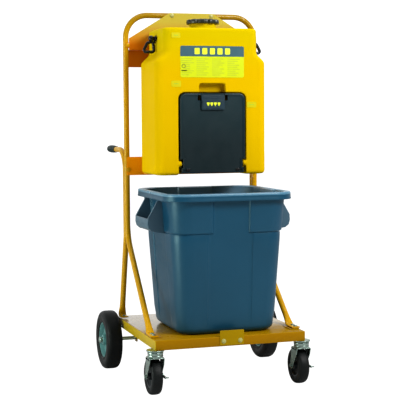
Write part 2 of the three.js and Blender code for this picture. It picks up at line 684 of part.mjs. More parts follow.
function sprayManifold() {
  const { y, z } = hinge;
  const { riserTop, headX, pipe, swivelX } = spray;
  const pivot = bar('x', pipe, swivelX + gap, -swivelX, [0, y, z], 16);
  const riser = bar('z', pipe - 2, z, riserTop, [0, y - 4, 0], 16);
  const cross = bar('x', pipe - 2, -headX - 10, headX + 10, [0, y - 4, riserTop], 16);
  const outlets = [-1, 1].map((side) => bar('y', 6, y - 4, y + 12, [side * headX, 0, riserTop], 16));
  return meshOf('spray_manifold', join(pivot, riser, cross, ...outlets), greyPlastic);
}

function sprayHead(side, label) {
  const { headRadius, headX, riserTop } = spray;
  const start = hinge.y + 12 + gap;
  const profile = [
    [0, 0], [9, 0], [12, 6], [headRadius, 12], [headRadius, 24], [headRadius - 3, 24], [headRadius - 3, 16],
    [0, 14], [0, 0],
  ];
  const shape = turned(profile, 'y', [side * headX, start, riserTop], 24);
  return meshOf(`spray_head_${label}`, shape, greyPlastic);
}

// ---------------------------------------------------------------- waste container
// Square outline with raised corner panels; every ring has the same point count.
function containerRing(z, half, corner, raise) {
  const outer = half + raise;
  const edge = bin.panelEdge;
  const arcSteps = 5;
  const side = [[edge + 3, outer], [edge, half], [-edge, half], [-edge - 3, outer]];
  const points = [];
  rounded(outer, outer, corner, arcSteps).forEach((point, i) => {
    points.push(point);
    if (i % (arcSteps + 1) !== arcSteps) return;
    const quarterTurn = Math.floor(i / (arcSteps + 1)) * (Math.PI / 2);
    const origin = new THREE.Vector2();
    side.forEach((p) => points.push(new THREE.Vector2(...p).rotateAround(origin, quarterTurn)));
  });
  points.forEach((p) => p.add(new THREE.Vector2(bin.x, bin.y)));
  return { z, points };
}

function bodyHalf(z) {
  const share = (z - deck.top) / (bin.rimTop - deck.top);
  return THREE.MathUtils.lerp(bin.bottomHalf, bin.topHalf, share);
}

// Tapered skin of the container; a positive inset gives the space inside its wall.
function containerSkin(inset, topZ) {
  const { bottomCorner, footRound, panelBottom, panelRaise, rimCorner } = bin;
  const floor = deck.top + gap + inset;
  const foot = edgeRound(footRound).map(([rise, pull]) => {
    const z = floor + rise;
    return containerRing(z, bodyHalf(z) - inset - pull, bottomCorner, 0);
  });
  return loft([
    ...foot,
    containerRing(panelBottom - 5, bodyHalf(panelBottom) - inset, rimCorner - 15, 0),
    containerRing(panelBottom, bodyHalf(panelBottom) - inset, rimCorner - 15, panelRaise),
    containerRing(topZ, bodyHalf(topZ) - inset, rimCorner - 11, panelRaise),
  ]);
}

function wasteContainer() {
  const { rimHalf, rimCorner, rimTop, rimHeight, panelRaise, wall } = bin;
  const underRim = rimTop - rimHeight;
  const lip = loft([
    containerRing(underRim, rimHalf, rimCorner, 0),
    containerRing(rimTop - 4, rimHalf, rimCorner, 0),
    containerRing(rimTop, rimHalf - 4, rimCorner - 4, 0),
  ]);
  const under = [underRim - 5, rimTop - wall].map((z) => containerRing(z, rimHalf - wall, rimCorner - wall, 0));
  const core = [underRim - 6, rimTop].map((z) => containerRing(z, bodyHalf(rimTop), rimCorner - 11, panelRaise));
  const groove = cut(loft(under), loft(core));
  const handles = [-1, 1].map(binHandleShape);
  const outside = join(containerSkin(0, rimTop - 1), cut(lip, groove), ...handles);
  return meshOf('waste_container', cut(outside, containerSkin(wall, rimTop + 1)), binPlastic);
}

// Two webs under the rim joined by a grip bar along their outer edge.
function binHandleShape(side) {
  const { halfLength, reach, armWidth } = binHandle;
  const wallX = bodyHalf(650);
  const out = bin.rimHalf + reach - 2;
  const web = [
    [wallX - 2, 630], [out - 20, 638], [out - 4, 652], [out, 672], [out - 2, 692],
    [bin.rimHalf - 8, 769], [wallX + 2, 769],
  ];
  const grip = [
    [out - 20, 638], [out - 4, 652], [out, 672], [out - 2, 692], [out - 9, 690], [out - 7, 672],
    [out - 10, 657], [out - 22, 647],
  ];
  const place = (points) => {
    const moved = points.map(([x, z]) => [bin.x + side * x, z]);
    return side > 0 ? moved : moved.reverse();
  };
  const arms = [-halfLength, halfLength - armWidth].map((y) => slab(place(web), bin.y + y, armWidth));
  return join(...arms, slab(place(grip), bin.y - halfLength, 2 * halfLength));
}

// ---------------------------------------------------------------- assembly
const station = new THREE.Group();
station.add(deckPan(), mainTube(), upperPlate(), hangerBarMesh(), tankBracket(), lowerSupportBar());
station.add(frontStopPlate(), frontCrossMember(), axle(), ...fasteners());
station.add(tankShell(), outletElbow(), fillerCap(), capSeal(), instructionLabel());
station.add(sprayDoor(), pullTab(), sprayManifold(), wasteContainer());
for (const [side, label] of [[-1, 'left'], [1, 'right']]) {
  station.add(rearTube(side, `rear_tube_${label}`), handleGrip(side, `handle_grip_${label}`));
  station.add(footPlate(side, braceFootY, `front_foot_${label}`));
  station.add(axleBracket(side, `axle_bracket_${label}`), rearWheelGroup(side, label));
  station.add(casterGroup(side, label), hingePin(side, `hinge_pin_${label}`));
  station.add(loopStud(side, label), carryLoop(side, label), sprayHead(side, label));
}

const bounds = new THREE.Box3().setFromObject(station);
station.position.y = -(bounds.min.y + bounds.max.y) / 2;

export default station;
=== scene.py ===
"""Eyewash station: the visual pieces, materials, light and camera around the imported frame."""
from math import ceil, copysign, cos, pi, radians, sin, tan

import bmesh
import bpy
from mathutils import Matrix, Vector


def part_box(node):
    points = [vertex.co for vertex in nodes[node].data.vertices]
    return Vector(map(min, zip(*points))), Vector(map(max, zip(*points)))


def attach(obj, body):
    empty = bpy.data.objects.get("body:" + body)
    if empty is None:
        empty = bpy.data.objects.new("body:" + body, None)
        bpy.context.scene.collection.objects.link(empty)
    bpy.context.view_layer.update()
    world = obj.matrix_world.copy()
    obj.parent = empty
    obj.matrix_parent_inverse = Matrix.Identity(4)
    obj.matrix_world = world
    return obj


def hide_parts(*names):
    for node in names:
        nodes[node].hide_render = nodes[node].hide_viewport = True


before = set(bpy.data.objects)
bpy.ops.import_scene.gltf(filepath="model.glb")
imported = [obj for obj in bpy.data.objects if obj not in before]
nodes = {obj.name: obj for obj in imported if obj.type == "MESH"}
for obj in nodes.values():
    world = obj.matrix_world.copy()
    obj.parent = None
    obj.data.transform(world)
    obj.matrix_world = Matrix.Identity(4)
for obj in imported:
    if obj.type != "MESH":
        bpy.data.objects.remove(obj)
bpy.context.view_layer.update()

scene = bpy.context.scene
SIDES = ((-1, "left"), (1, "right"))

# Shapes are written in millimetres from the middle of the deck, on the floor.
deck_low, deck_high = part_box("deck_pan")
MIDDLE_Y = (deck_low.y + deck_high.y) / 2
GAP = 0.3


def mm(x, y, z):
    return Vector((x / 1000, y / 1000 + MIDDLE_Y, z / 1000))


def span(node):
    """A node's (x0, x1), (y0, y1), (z0, z1) in millimetres from the middle of the deck."""
    low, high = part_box(node)
    spans = [(a * 1000, b * 1000) for a, b in zip(low, high)]
    shift = MIDDLE_Y * 1000
    spans[1] = (spans[1][0] - shift, spans[1][1] - shift)
    return spans


def middle(node):
    return Vector([(a + b) / 2 for a, b in span(node)])


def lerp(a, b, t):
    return a + (b - a) * t


def ease(t):
    t = min(max(t, 0.0), 1.0)
    return t * t * (3 - 2 * t)


# ---------------- materials
def link(tree, source, target):
    tree.links.new(source, target)


def set_inputs(node, **values):
    """Input values by socket name, with underscores for its spaces."""
    for socket, value in values.items():
        node.inputs[socket.replace("_", " ")].default_value = value


def new_node(tree, kind, **values):
    node = tree.nodes.new("ShaderNode" + kind)
    set_inputs(node, **values)
    return node


def noise_node(tree, coords, scale, detail, rough, stretch):
    if stretch:
        mapping = new_node(tree, "Mapping", Scale=stretch)
        link(tree, coords, mapping.inputs["Vector"])
        coords = mapping.outputs["Vector"]
    noise = new_node(tree, "TexNoise", Scale=scale, Detail=detail, Roughness=rough)
    link(tree, coords, noise.inputs["Vector"])
    return noise.outputs["Fac"]


def along(tree, vector, axis):
    split = new_node(tree, "SeparateXYZ")
    link(tree, vector, split.inputs["Vector"])
    return split.outputs[axis]


def ranged(tree, value, low, high, start=0.3, end=0.7):
    node = new_node(tree, "MapRange", From_Min=start, From_Max=end, To_Min=low, To_Max=high)
    link(tree, value, node.inputs["Value"])
    return node.outputs["Result"]


def mixed(tree, share, first, second):
    node = new_node(tree, "Mix")
    node.data_type = "RGBA"
    link(tree, share, node.inputs["Factor"])
    for socket, value in ((node.inputs["A"], first), (node.inputs["B"], second)):
        if isinstance(value, tuple):
            socket.default_value = (*value, 1)
        else:
            link(tree, value, socket)
    return node.outputs["Result"]


def linear(rgb):
    """sRGB 0-255 to the linear values that a shader takes."""
    return tuple(
        c / 255 / 12.92 if c / 255 <= 0.04045 else ((c / 255 + 0.055) / 1.055) ** 2.4
        for c in rgb
    )


def blank_material(name):
    material = bpy.data.materials.new(name)
    material.use_nodes = True
    tree = material.node_tree
    return material, tree, tree.nodes["Principled BSDF"]


def finish(
    name, slot, rgb, rough, tint, tint_scale, bump, grain=900.0, rough_spread=0.06, shine=0.5,
    stretch=None, upper=None, worn_coat=None, **sockets,
):
    """A procedural surface: slow colour drift, fine roughness change and a fine grain in relief.

    The colour by height is (rgb, low z, high z); it takes over with height in metres and is painted light and
    shade: a top made paler or darker for how light falls on it.
    worn_coat is (weight, bare y, whole y), a clear coat that thins out towards the front edge.
    """
    material, tree, shader = blank_material(name)
    coords = new_node(tree, "TexCoord").outputs["Object"]
    base = linear(rgb)
    dark = tuple(c * (1 - tint) for c in base)
    light = tuple(min(c * (1 + tint), 1.0) for c in base)
    drift = ranged(tree, noise_node(tree, coords, tint_scale, 4.0, 0.55, stretch), 0.0, 1.0)
    colour = mixed(tree, drift, dark, light)
    # Painted light and shade: a colour that takes over towards the top, darker or paler for how light falls
    # there.
    if upper:
        painted_light_rgb, low_z, high_z = upper
        share = ranged(tree, along(tree, coords, "Z"), 0.0, 1.0, low_z, high_z)
        colour = mixed(tree, share, colour, linear(painted_light_rgb))
    link(tree, colour, shader.inputs["Base Color"])
    fine = noise_node(tree, coords, grain, 2.0, 0.5, stretch)
    wide = noise_node(tree, coords, 22.0, 3.0, 0.6, stretch)
    roughness = ranged(tree, wide, rough - rough_spread, rough + rough_spread)
    link(tree, roughness, shader.inputs["Roughness"])
    relief = new_node(tree, "Bump", Strength=bump, Distance=0.001)
    link(tree, fine, relief.inputs["Height"])
    link(tree, relief.outputs["Normal"], shader.inputs["Normal"])
    set_inputs(shader, Specular_IOR_Level=shine, **sockets)
    if worn_coat:
        weight, bare_y, whole_y = worn_coat
        coat = ranged(tree, along(tree, coords, "Y"), 0.0, weight, bare_y, whole_y)
        link(tree, coat, shader.inputs["Coat Weight"])
    return material


WHITE = (1.0, 1.0, 1.0, 1)
WARM = (1.0, 0.8, 0.3, 1)


def powder_coat(name, rgb, rough=0.38, tint=0.08, bump=0.06, shine=0.25, glow=WARM, **more):
    return finish(
        "powder_coat" + name, "frame_paint", rgb, rough, tint, 3.0, bump, 420, shine=shine,
        Specular_Tint=glow, **more,
    )


def bin_plastic(name, rgb, rough=0.4, bump=0.14, shine=0.4, tint_scale=3.0, **more):
    name = f"container_{name}polyethylene"
    return finish(name, "bin_plastic", rgb, rough, 0.08, tint_scale, bump, 800, shine=shine, **more)


def film(name, rgb, rough=0.4, tint=0.03, shine=0.3):
    return finish(name, "label_film", rgb, rough, tint, 30.0, 0.03, 300, shine=shine)


def ink(name, rgb, tint=0.08):
    return finish(name, "label_film", rgb, 0.4, tint, 60.0, 0.02, 300)


# Frame paint; its top, above 1.42 m, turns darker: painted shade on the top of the frame.
paint = powder_coat(
    "", (198, 152, 4), bump=0.08, shine=0.3, upper=((150, 118, 4), 1.42, 1.53),
    Coat_Weight=0.3, Coat_Roughness=0.12, Coat_Tint=(1.0, 0.86, 0.42, 1),
)
# Plate paint; above 1.41 m it turns pale yellow: a painted sheen on the plate's top.
plate_paint = powder_coat(
    "_plate", (194, 106, 0), tint=0.10, bump=0.08, shine=0.3, upper=((184, 168, 66), 1.41, 1.51),
)
skirt_paint = powder_coat("_skirt", (158, 114, 0))
# A brighter copy of the skirt paint for the deck's sides: painted light from the left.
lit_side_paint = powder_coat("_side", (184, 156, 20), shine=0.3, glow=(1.0, 0.9, 0.4, 1))
stop_paint = powder_coat("_stop", (158, 128, 2))
# A much brighter copy of the plate paint for the support rail: painted light that lifts the shade under the
# tank.
rail_lit_paint = powder_coat("_rail", (255, 164, 2), 0.36, shine=0.3)
deck_paint = powder_coat(
    "_deck", (158, 120, 2), 0.3, bump=0.04, shine=0.02, glow=WHITE, worn_coat=(0.95, -0.28, -0.14),
    Coat_Roughness=0.12, Coat_Tint=(0.97, 1.0, 0.94, 1),
)
# Tank plastic; above 1.28 m it turns darker and greener: painted shade on the tank's top.
tank_skin = finish(
    "tank_polyethylene", "tank_plastic", (217, 178, 0), 0.55, 0.04, 2.5, 0.1, 650, 0.05, shine=0.03,
    upper=((204, 180, 0), 1.28, 1.44), Specular_Tint=(1.0, 0.8, 0.0, 1),
)
# Door plastic; lighter towards its top: painted light on the door's top.
door_skin = finish(
    "door_moulding", "door_plastic", (21, 38, 42), 0.36, 0.12, 4.0, 0.25, 1500, shine=0.3,
    upper=((27, 50, 55), 0.98, 1.19),
)
tab_skin = finish("tab_moulding", "tab_plastic", (36, 58, 68), 0.36, 0.1, 9.0, 0.2, 1500, shine=0.35)
container_skin = bin_plastic(
    "", (18, 69, 94), 0.36, bump=0.1, shine=0.5, rough_spread=0.03, Specular_Tint=(0.7, 1.0, 1.0, 1),
)
# A lighter copy of the bin plastic for the rim's top: painted light on the top.
rim_lit_skin = bin_plastic("rim_", (80, 126, 150), 0.3, shine=0.5, tint_scale=5.0)
# A much lighter copy of the bin plastic for the inside: painted light against the shade in the hollow.
inner_lit_skin = bin_plastic("inner_", (98, 130, 150))
# A lighter copy of the bin plastic for the handles: painted light on the shaded handles.
handle_lit_skin = bin_plastic("handle_", (68, 96, 112))
cap_skin = finish(
    "cap_plastic", "cap_plastic", (28, 34, 24), 0.36, 0.2, 12.0, 0.08, rough_spread=0.04, shine=0.7,
)
black_skin = finish("black_plastic", "black_rubber", (12, 13, 14), 0.26, 0.2, 12.0, 0.12)
core_skin = finish("wheel_core_plastic", "core_plastic", (30, 35, 38), 0.45, 0.12, 20.0, 0.15)
fitting_skin = finish("fitting_plastic", "fitting_plastic", (126, 136, 140), 0.42, 0.08, 18.0, 0.12)
tyre_skin = finish("tyre_rubber", "tyre_rubber", (15, 19, 19), 0.5, 0.2, 14.0, 0.3, 700, shine=0.25)
grip_skin = finish("grip_rubber", "black_rubber", (12, 36, 34), 0.5, 0.15, 20.0, 0.3, 800, shine=0.3)
pale_bolt_skin = finish(
    "bolt_yellow_zinc", "zinc_steel", (172, 168, 96), 0.36, 0.1, 38.0, 0.05, 300, shine=0.6,
)
zinc_skin = finish("zinc_plate", "zinc_steel", (150, 168, 160), 0.28, 0.2, 38.0, 0.06, 300, 0.1, Metallic=1.0)
wheel_zinc_skin = finish(
    "wheel_disc_zinc", "zinc_steel", (100, 148, 146), 0.4, 0.16, 24.0, 0.08, 300, 0.1, Metallic=0.35,
)
axle_skin = finish(
    "drawn_steel", "zinc_steel", (192, 210, 178), 0.36, 0.1, 9.0, 0.05, 240, stretch=(0.05, 1.0, 1.0),
    Metallic=0.4,
)
label_skin = film("label_film", (204, 216, 2))
banner_skin = film("label_banner", (66, 100, 110), 0.34, tint=0.05)
small_label_skin = film("small_label_film", (206, 194, 2), 0.45, shine=0.2)
mark_skin = ink("label_marks", (176, 192, 24))
dark_mark_skin = ink("label_dark_marks", (136, 144, 18))
bright_mark_skin = ink("bright_marks", (226, 238, 40), tint=0.05)


# ---------------- shapes: (vertices, faces) in millimetres
def joined(*shapes):
    verts, faces = [], []
    for some_verts, some_faces in shapes:
        start = len(verts)
        verts.extend(some_verts)
        faces.extend([tuple(i + start for i in face) for face in some_faces])
    return verts, faces


def skin(rings, closed=False):
    """Quads between rings of equal length; open ends get one face each."""
    count = len(rings[0])
    verts = [Vector(p) for ring in rings for p in ring]
    faces = []
    last = len(rings) if closed else len(rings) - 1
    for r in range(last):
        a, b = r * count, ((r + 1) % len(rings)) * count
        for i in range(count):
            j = (i + 1) % count
            faces.append((a + i, a + j, b + j, b + i))
    if not closed:
        faces.append(tuple(reversed(range(count))))
        faces.append(tuple(range(len(verts) - count, len(verts))))
    return verts, faces


def sweep(path, section, up=(0, 0, 1), closed=False):
    """Skin along a path without twist; section(i) gives (up, sideways) points of ring i."""
    count = len(path)
    rings = []
    normal = Vector(up)
    for i, point in enumerate(path):
        before = path[i - 1] if closed or i else point
        after = path[(i + 1) % count] if closed or i + 1 < count else point
        tangent = (after - before).normalized()
        normal = (normal - tangent * normal.dot(tangent)).normalized()
        side = tangent.cross(normal)
        rings.append([point + normal * u + side * v for u, v in section(i)])
    return skin(rings, closed)


def circle(radius, count=28):
    angles = [2 * pi * k / count for k in range(count)]
    return [(radius * cos(a), radius * sin(a)) for a in angles]


def quarter(steps):
    """Angles from 0 to 90 degrees."""
    return [k / steps * pi / 2 for k in range(steps + 1)]


def fillet(corners, radii, steps):
    """Straight legs whose inner corners are rounded to the given radii."""
    corners = [Vector(c) for c in corners]
    points = [corners[0]]
    for before, corner, after, radius in zip(corners, corners[1:], corners[2:], radii):
        back, ahead = (before - corner).normalized(), (after - corner).normalized()
        half = back.angle(ahead) / 2
        centre = corner + (back + ahead).normalized() * (radius / sin(half))
        start = corner + back * (radius / tan(half)) - centre
        axis = back.cross(start).normalized()
        for i in range(steps + 1):
            turn = Matrix.Rotation((pi - 2 * half) * i / steps, 3, axis)
            points.append(centre + turn @ start)
    points.append(corners[-1])
    return points


def closed_fillet(corners, radius, steps):
    count = len(corners)
    points = []
    for i in range(count):
        near = [corners[i - 1], corners[i], corners[(i + 1) % count]]
        points.extend(fillet(near, [radius], steps)[1:-1])
    return points


def spread(path, step):
    """Adds points along straight runs, no further apart than step."""
    points = [path[0]]
    for a, b in zip(path, path[1:]):
        parts = max(1, ceil((b - a).length / step))
        points.extend(a.lerp(b, (k + 1) / parts) for k in range(parts))
    return points


def placed(flat, height, axis):
    """The point at a height along the axis, with its two other coordinates in flat."""
    i = "xyz".index(axis)
    return (*flat[:i], height, *flat[i:])


def turned(profile, axis, centre, segments, wave=None):
    """Profile of (radius, height) turned about an axis. wave(angle, radius) may reshape it."""
    verts, faces, rings = [], [], []
    centre = Vector(centre)
    for radius, height in profile:
        count = segments if radius > 1e-6 else 1
        rings.append(list(range(len(verts), len(verts) + count)))
        for k in range(count):
            angle = 2 * pi * k / segments
            r = wave(angle, radius) if wave else radius
            flat = (r * cos(angle), r * sin(angle))
            verts.append(centre + Vector(placed(flat[::-1] if axis == "y" else flat, height, axis)))
    for a, b in zip(rings, rings[1:]):
        for k in range(segments):
            j = (k + 1) % segments
            face = [a[k % len(a)], a[j % len(a)], b[j % len(b)], b[k % len(b)]]
            face = [v for n, v in enumerate(face) if v not in face[:n]]
            if len(face) > 2:
                faces.append(tuple(face))
    return verts, faces


def rod(radius, start, end, axis, centre, segments=24, edge=0.0):
    """Solid round bar; edge is the chamfer at its two ends."""
    rims = [(radius, start), (radius, end)]
    if edge:
        rims = [(radius - edge, start), (radius, start + edge), (radius, end - edge), (radius - edge, end)]
    return turned([(0, start), *rims, (0, end)], axis, centre, segments)


def mirrored(half):
    """A closed profile from its half on the positive side."""
    return half + [(r, -h) for r, h in reversed(half) if h] + half[:1]


def rounded(half_x, half_y, radius, steps, centre=(0, 0)):
    points = []
    for corner, (sx, sy) in enumerate(((1, 1), (-1, 1), (-1, -1), (1, -1))):
        for i in range(steps + 1):
            angle = (corner + i / steps) * pi / 2
            points.append((
                centre[0] + sx * (half_x - radius) + radius * cos(angle),
                centre[1] + sy * (half_y - radius) + radius * sin(angle),
            ))
    return points


def slab(outline, axis, start, end):
    """Outline extruded along an axis: (x, z) along y, (y, z) along x, or (x, y) along z."""
    return skin([[placed(p, height, axis) for p in outline] for height in (start, end)])


def block(xs, ys, zs):
    return slab([(xs[0], ys[0]), (xs[1], ys[0]), (xs[1], ys[1]), (xs[0], ys[1])], "z", *zs)


def flat_outline(corners, radius, steps=5):
    """A flat polygon's corners rounded to one radius."""
    line = closed_fillet([Vector((x, y, 0)) for x, y in corners], radius, steps)
    return [(p.x, p.y) for p in line]


def object_of(name, *shapes):
    verts, faces = joined(*shapes)
    bm = bmesh.new()
    made = [bm.verts.new(mm(*v)) for v in verts]
    for face in faces:
        bm.faces.new([made[i] for i in face])
    bmesh.ops.recalc_face_normals(bm, faces=bm.faces)
    mesh = bpy.data.meshes.new(name)
    bm.to_mesh(mesh)
    bm.free()
    obj = bpy.data.objects.new(name, mesh)
    scene.collection.objects.link(obj)
    return obj


def soften(obj, width, angle=38, segments=3):
    bevel = obj.modifiers.new("edge_radius", "BEVEL")
    bevel.width = width / 1000
    bevel.segments = segments
    bevel.limit_method = "ANGLE"
    bevel.angle_limit = radians(angle)
    bevel.use_clamp_overlap = True


def shade(obj, angle):
    obj.data.shade_smooth()
    obj.data.set_sharp_from_angle(angle=radians(angle))


def surface(obj, material):
    obj.data.materials.clear()
    obj.data.materials.append(material)


def dress(obj, node, body, material):
    """Puts a piece on a body; node is the CAD node that it stands for, or None for added detail."""
    surface(obj, material)
    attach(obj, body)
    if node:
        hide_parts(node)


def piece(name, node, body, material, *shapes, slot=None, bevel=0.0, angle=38):
    obj = object_of(name, *shapes)
    if bevel:
        soften(obj, bevel)
    shade(obj, angle)
    dress(obj, node, body, material)
    return obj


def keep(material, bevel, *names):
    """CAD nodes that stay as they are, with softened edges and a finished surface."""
    for name in names:
        obj = nodes[name]
        surface(obj, material)
        weld = obj.modifiers.new("weld", "WELD")
        weld.merge_threshold = 1e-5
        soften(obj, bevel, segments=2)


def baked(obj):
    """Applies the object's modifiers."""
    view = bpy.context.evaluated_depsgraph_get()
    mesh = bpy.data.meshes.new_from_object(obj.evaluated_get(view))
    obj.modifiers.clear()
    obj.data = mesh


def combine(target, operation, name, shape):
    """Cuts a shape out of the target (DIFFERENCE) or adds it (UNION)."""
    other = object_of(name, shape)
    boolean = target.modifiers.new(name, "BOOLEAN")
    boolean.operation = operation
    boolean.object = other
    boolean.solver = "EXACT"
    baked(target)
    bpy.data.objects.remove(other)


def hex_bolt(axis, sign, centre, radius=6.5, height=4.2, washer=9.5):
    """Hex head with a chamfered top on a washer, standing out along sign * axis."""
    disc = turned([(0, 0), (washer, 0), (washer, 1.0), (washer - 0.6, 1.4), (0, 1.4)], "z", (0, 0, 0), 24)
    crown = radius * 0.86
    head = turned(
        [(0, 1.4), (radius, 1.4), (radius, height - 0.7), (crown, height), (crown * 0.6, height + 0.15),
         (0, height + 0.15)],
        "z", (0, 0, 0), 6,
    )
    verts, faces = joined(disc, head)
    centre = Vector(centre)
    return [centre + Vector(placed(v[:2], v[2] * sign, axis)) for v in verts], faces


# ---------------- frame
TUBE = 12.0
UPRIGHT_X = middle("side_bolt_right").x + 4
FRONT_Y = 213.0
REAR_Y = FRONT_Y + 2 * TUBE + GAP
TOP_Z = span("main_tube")[2][1] - TUBE
DECK_TOP = span("deck_pan")[2][1]
FOOT_X, FOOT_Z = 303.0, DECK_TOP + 6.5
LEG_TOP_Z, HANDLE_Z, HANDLE_END = 585, 959, 528
KINK, BOW = 140, 95


def flattened(distance, flat_until, round_from):
    """Section of a tube that is squashed flat near its end."""
    share = 1 - ease((distance - flat_until) / (round_from - flat_until))
    flat_high, flat_wide = 3.4, 17.5
    points = []
    for u, v in circle(1.0):
        flat_u = flat_high * copysign(abs(u) ** 0.6, u)
        flat_v = flat_wide * copysign(abs(v) ** 0.85, v)
        points.append((lerp(TUBE * u, flat_u, share), lerp(TUBE * v, flat_v, share)))
    return points


def bent_tube(corners, radii):
    """The tube's centre line and each point's distance along it."""
    path = spread(fillet(corners, radii, 14), 25)
    lengths = [0.0]
    for a, b in zip(path, path[1:]):
        lengths.append(lengths[-1] + (b - a).length)
    return path, lengths


def main_tube():
    left = [
        (-FOOT_X, -250, FOOT_Z), (-302.2, -178.6, FOOT_Z), (-UPRIGHT_X, FRONT_Y, LEG_TOP_Z),
        (-UPRIGHT_X, FRONT_Y, TOP_Z),
    ]
    right = [(-x, y, z) for x, y, z in reversed(left)]
    path, lengths = bent_tube(left + right, [26, KINK, BOW, BOW, KINK, 26])

    def section(i):
        return flattened(min(lengths[i], lengths[-1] - lengths[i]), 62, 125)

    piece("frame_main_tube", "main_tube", "cart", paint, sweep(path, section))


def rear_tube(side, label):
    x = side * UPRIGHT_X
    corners = [
        (side * FOOT_X, 236, FOOT_Z), (side * 302.3, 286.4, FOOT_Z), (x, REAR_Y, LEG_TOP_Z),
        (x, REAR_Y, HANDLE_Z), (x, HANDLE_END, HANDLE_Z),
    ]
    path, lengths = bent_tube(corners, [14, KINK, BOW])

    def section(i):
        return flattened(lengths[i], 40, 95)

    tube = sweep(path, section)
    piece(f"frame_rear_tube_{label}", f"rear_tube_{label}", "cart", paint, tube)
    ribs = []
    for k in range(9):
        z = 14 + k * 10.5
        swell = 2.4 * sin(pi * (k + 1) / 12)
        ribs += [(13.9 + swell, z), (14.5 + swell, z + 2.5), (14.5 + swell, z + 6.5), (13.9 + swell, z + 9)]
    profile = [
        (12.3, 0), (13.6, 0), (14.2, 0.8), (14.4, 8), *ribs, (15.6, 112), (14.8, 120), (13, 127), (10, 132),
        (6, 135.4), (0, 136.6), (0, 130), (12.3, 130), (12.3, 0),
    ]
    grip = turned(profile, "y", (x, HANDLE_END - 128, HANDLE_Z), 40)
    piece(f"push_grip_{label}", f"handle_grip_{label}", "cart", grip_skin, grip)


def foot_plates():
    for side, label in SIDES:
        (x0, x1), (y0, y1), zs = span(f"front_foot_{label}")
        outline = rounded((x1 - x0) / 2, (y1 - y0) / 2, 6, 5, ((x0 + x1) / 2, (y0 + y1) / 2))
        piece(
            f"foot_plate_{label}", f"front_foot_{label}", "cart", skirt_paint,
            slab(outline, "z", *zs), bevel=0.6,
        )
        on_foot = FOOT_Z + 3.4
        bolts = [hex_bolt("z", 1, (side * FOOT_X, y, on_foot)) for y in (-238, -208)]
        piece(f"foot_bolts_{label}", None, "cart", zinc_skin, *bolts)
        rear = hex_bolt("z", 1, (side * FOOT_X, 249, on_foot), 5.5, 3.8, 8)
        piece(f"rear_foot_bolt_{label}", None, "cart", zinc_skin, rear)


def deck():
    (x0, x1), (y0, y1), (z0, z1) = span("deck_pan")
    half_x, half_y = (x1 - x0) / 2, (y1 - y0) / 2
    sheet, bend = 2.5, 3.5

    def ring(inset, z, radius=5.0):
        return [(x, y, z) for x, y in rounded(half_x - inset, half_y - inset, max(radius - inset, 1.0), 6)]

    edge = [ring(bend * (1 - cos(a)), z1 - bend + bend * sin(a)) for a in quarter(6)]
    rings = [
        ring(sheet, z1 - sheet), ring(sheet, z0 + 1), ring(sheet - 0.6, z0), ring(0.6, z0), ring(0, z0 + 0.8),
        *edge,
    ]
    pan = piece("deck", "deck_pan", "cart", deck_paint, skin(rings))
    pan.data.materials.append(skirt_paint)
    pan.data.materials.append(lit_side_paint)
    # Skirt faces that point sideways take the brighter copy: painted light on the deck's sides.
    for face in pan.data.polygons:
        if face.normal.z < 0.6:
            face.material_index = 2 if abs(face.normal.x) > 0.6 else 1
    (x0, x1), ys, (z0, z1) = span("front_stop_plate")
    plate = slab(flat_outline([(x0, z0), (x1, z0), (x1, z1), (x0, z1)], 4), "y", *ys)
    piece("stop_plate", "front_stop_plate", "cart", stop_paint, plate, bevel=0.7)


BOLT_SKINS = {
    "top_bolt": pale_bolt_skin, "side_bolt": paint, "lower_bolt": paint, "stop_bolt": pale_bolt_skin,
}


def bolts():
    for name, material in BOLT_SKINS.items():
        for _, label in SIDES:
            node = f"{name}_{label}"
            centre, back = middle(node), span(node)[1][1]
            head = hex_bolt("y", -1, (centre.x, back + GAP, centre.z))
            piece(f"{name}_head_{label}", node, "cart", material, head, slot="zinc_steel")


def upper_plate():
    (_, x1), (front, y1), (z0, z1) = span("upper_plate")
    sheet = 2.5
    half, top_half, side_top = 281, 99, 1437
    right = [
        (half, z0), (half, z0 + 10), (x1, z0 + 10), (x1, z0 + 32), (half, z0 + 32), (half, side_top),
        (top_half, z1),
    ]
    corners = right + [(-x, z) for x, z in reversed(right)]
    face = slab(flat_outline(corners, 3.0, 4), "y", front, front + sheet)
    lip = [(front + 0.2, z0 + 2.5), (front + 0.2, z0), (y1, z0), (y1, z0 + sheet), (front + 4, z0 + sheet)]
    fold = slab(flat_outline(lip, 0.8, 3), "x", 4 - half, half - 4)
    piece("top_plate", "upper_plate", "cart", plate_paint, face, fold, bevel=0.6)


def rails():
    sheet = 2.5
    xs, (y0, y1), (z0, z1) = span("hanger_bar")
    profile = [(y0, z1), (y0 + sheet, z1), (y0 + sheet, z0 + sheet), (y1, z0 + sheet), (y1, z0), (y0, z0)]
    bar = slab(flat_outline(profile, 0.9, 3), "x", *xs)
    piece("tank_rail", "hanger_bar", "cart", plate_paint, bar, bevel=0.5)
    (_, x1), (y0, y1), (z0, z1) = span("lower_support_bar")
    web = slab(rounded(x1, (z1 - z0) / 2, 4, 4, (0, (z0 + z1) / 2)), "y", y1 - sheet, y1)
    shelf_z, shelf_half = TANK_LOW - GAP, 225
    shelf_outline = rounded(shelf_half, (y1 - y0) / 2, 6, 4, (0, (y0 + y1) / 2))
    shelf = slab(shelf_outline, "z", shelf_z - sheet, shelf_z)
    piece("support_rail", "lower_support_bar", "cart", rail_lit_paint, web, shelf, bevel=0.6)


def axle_parts():
    (x0, x1), (y0, y1), (z0, z1) = span("rear_axle")
    bar = rod((z1 - z0) / 2, x0, x1, "x", (0, (y0 + y1) / 2, (z0 + z1) / 2), 32, edge=1.2)
    piece("axle", "rear_axle", "cart", axle_skin, bar)
    keep(paint, 0.6, "axle_bracket_left", "axle_bracket_right", "front_cross_member")
    keep(zinc_skin, 0.6, "tank_bracket")


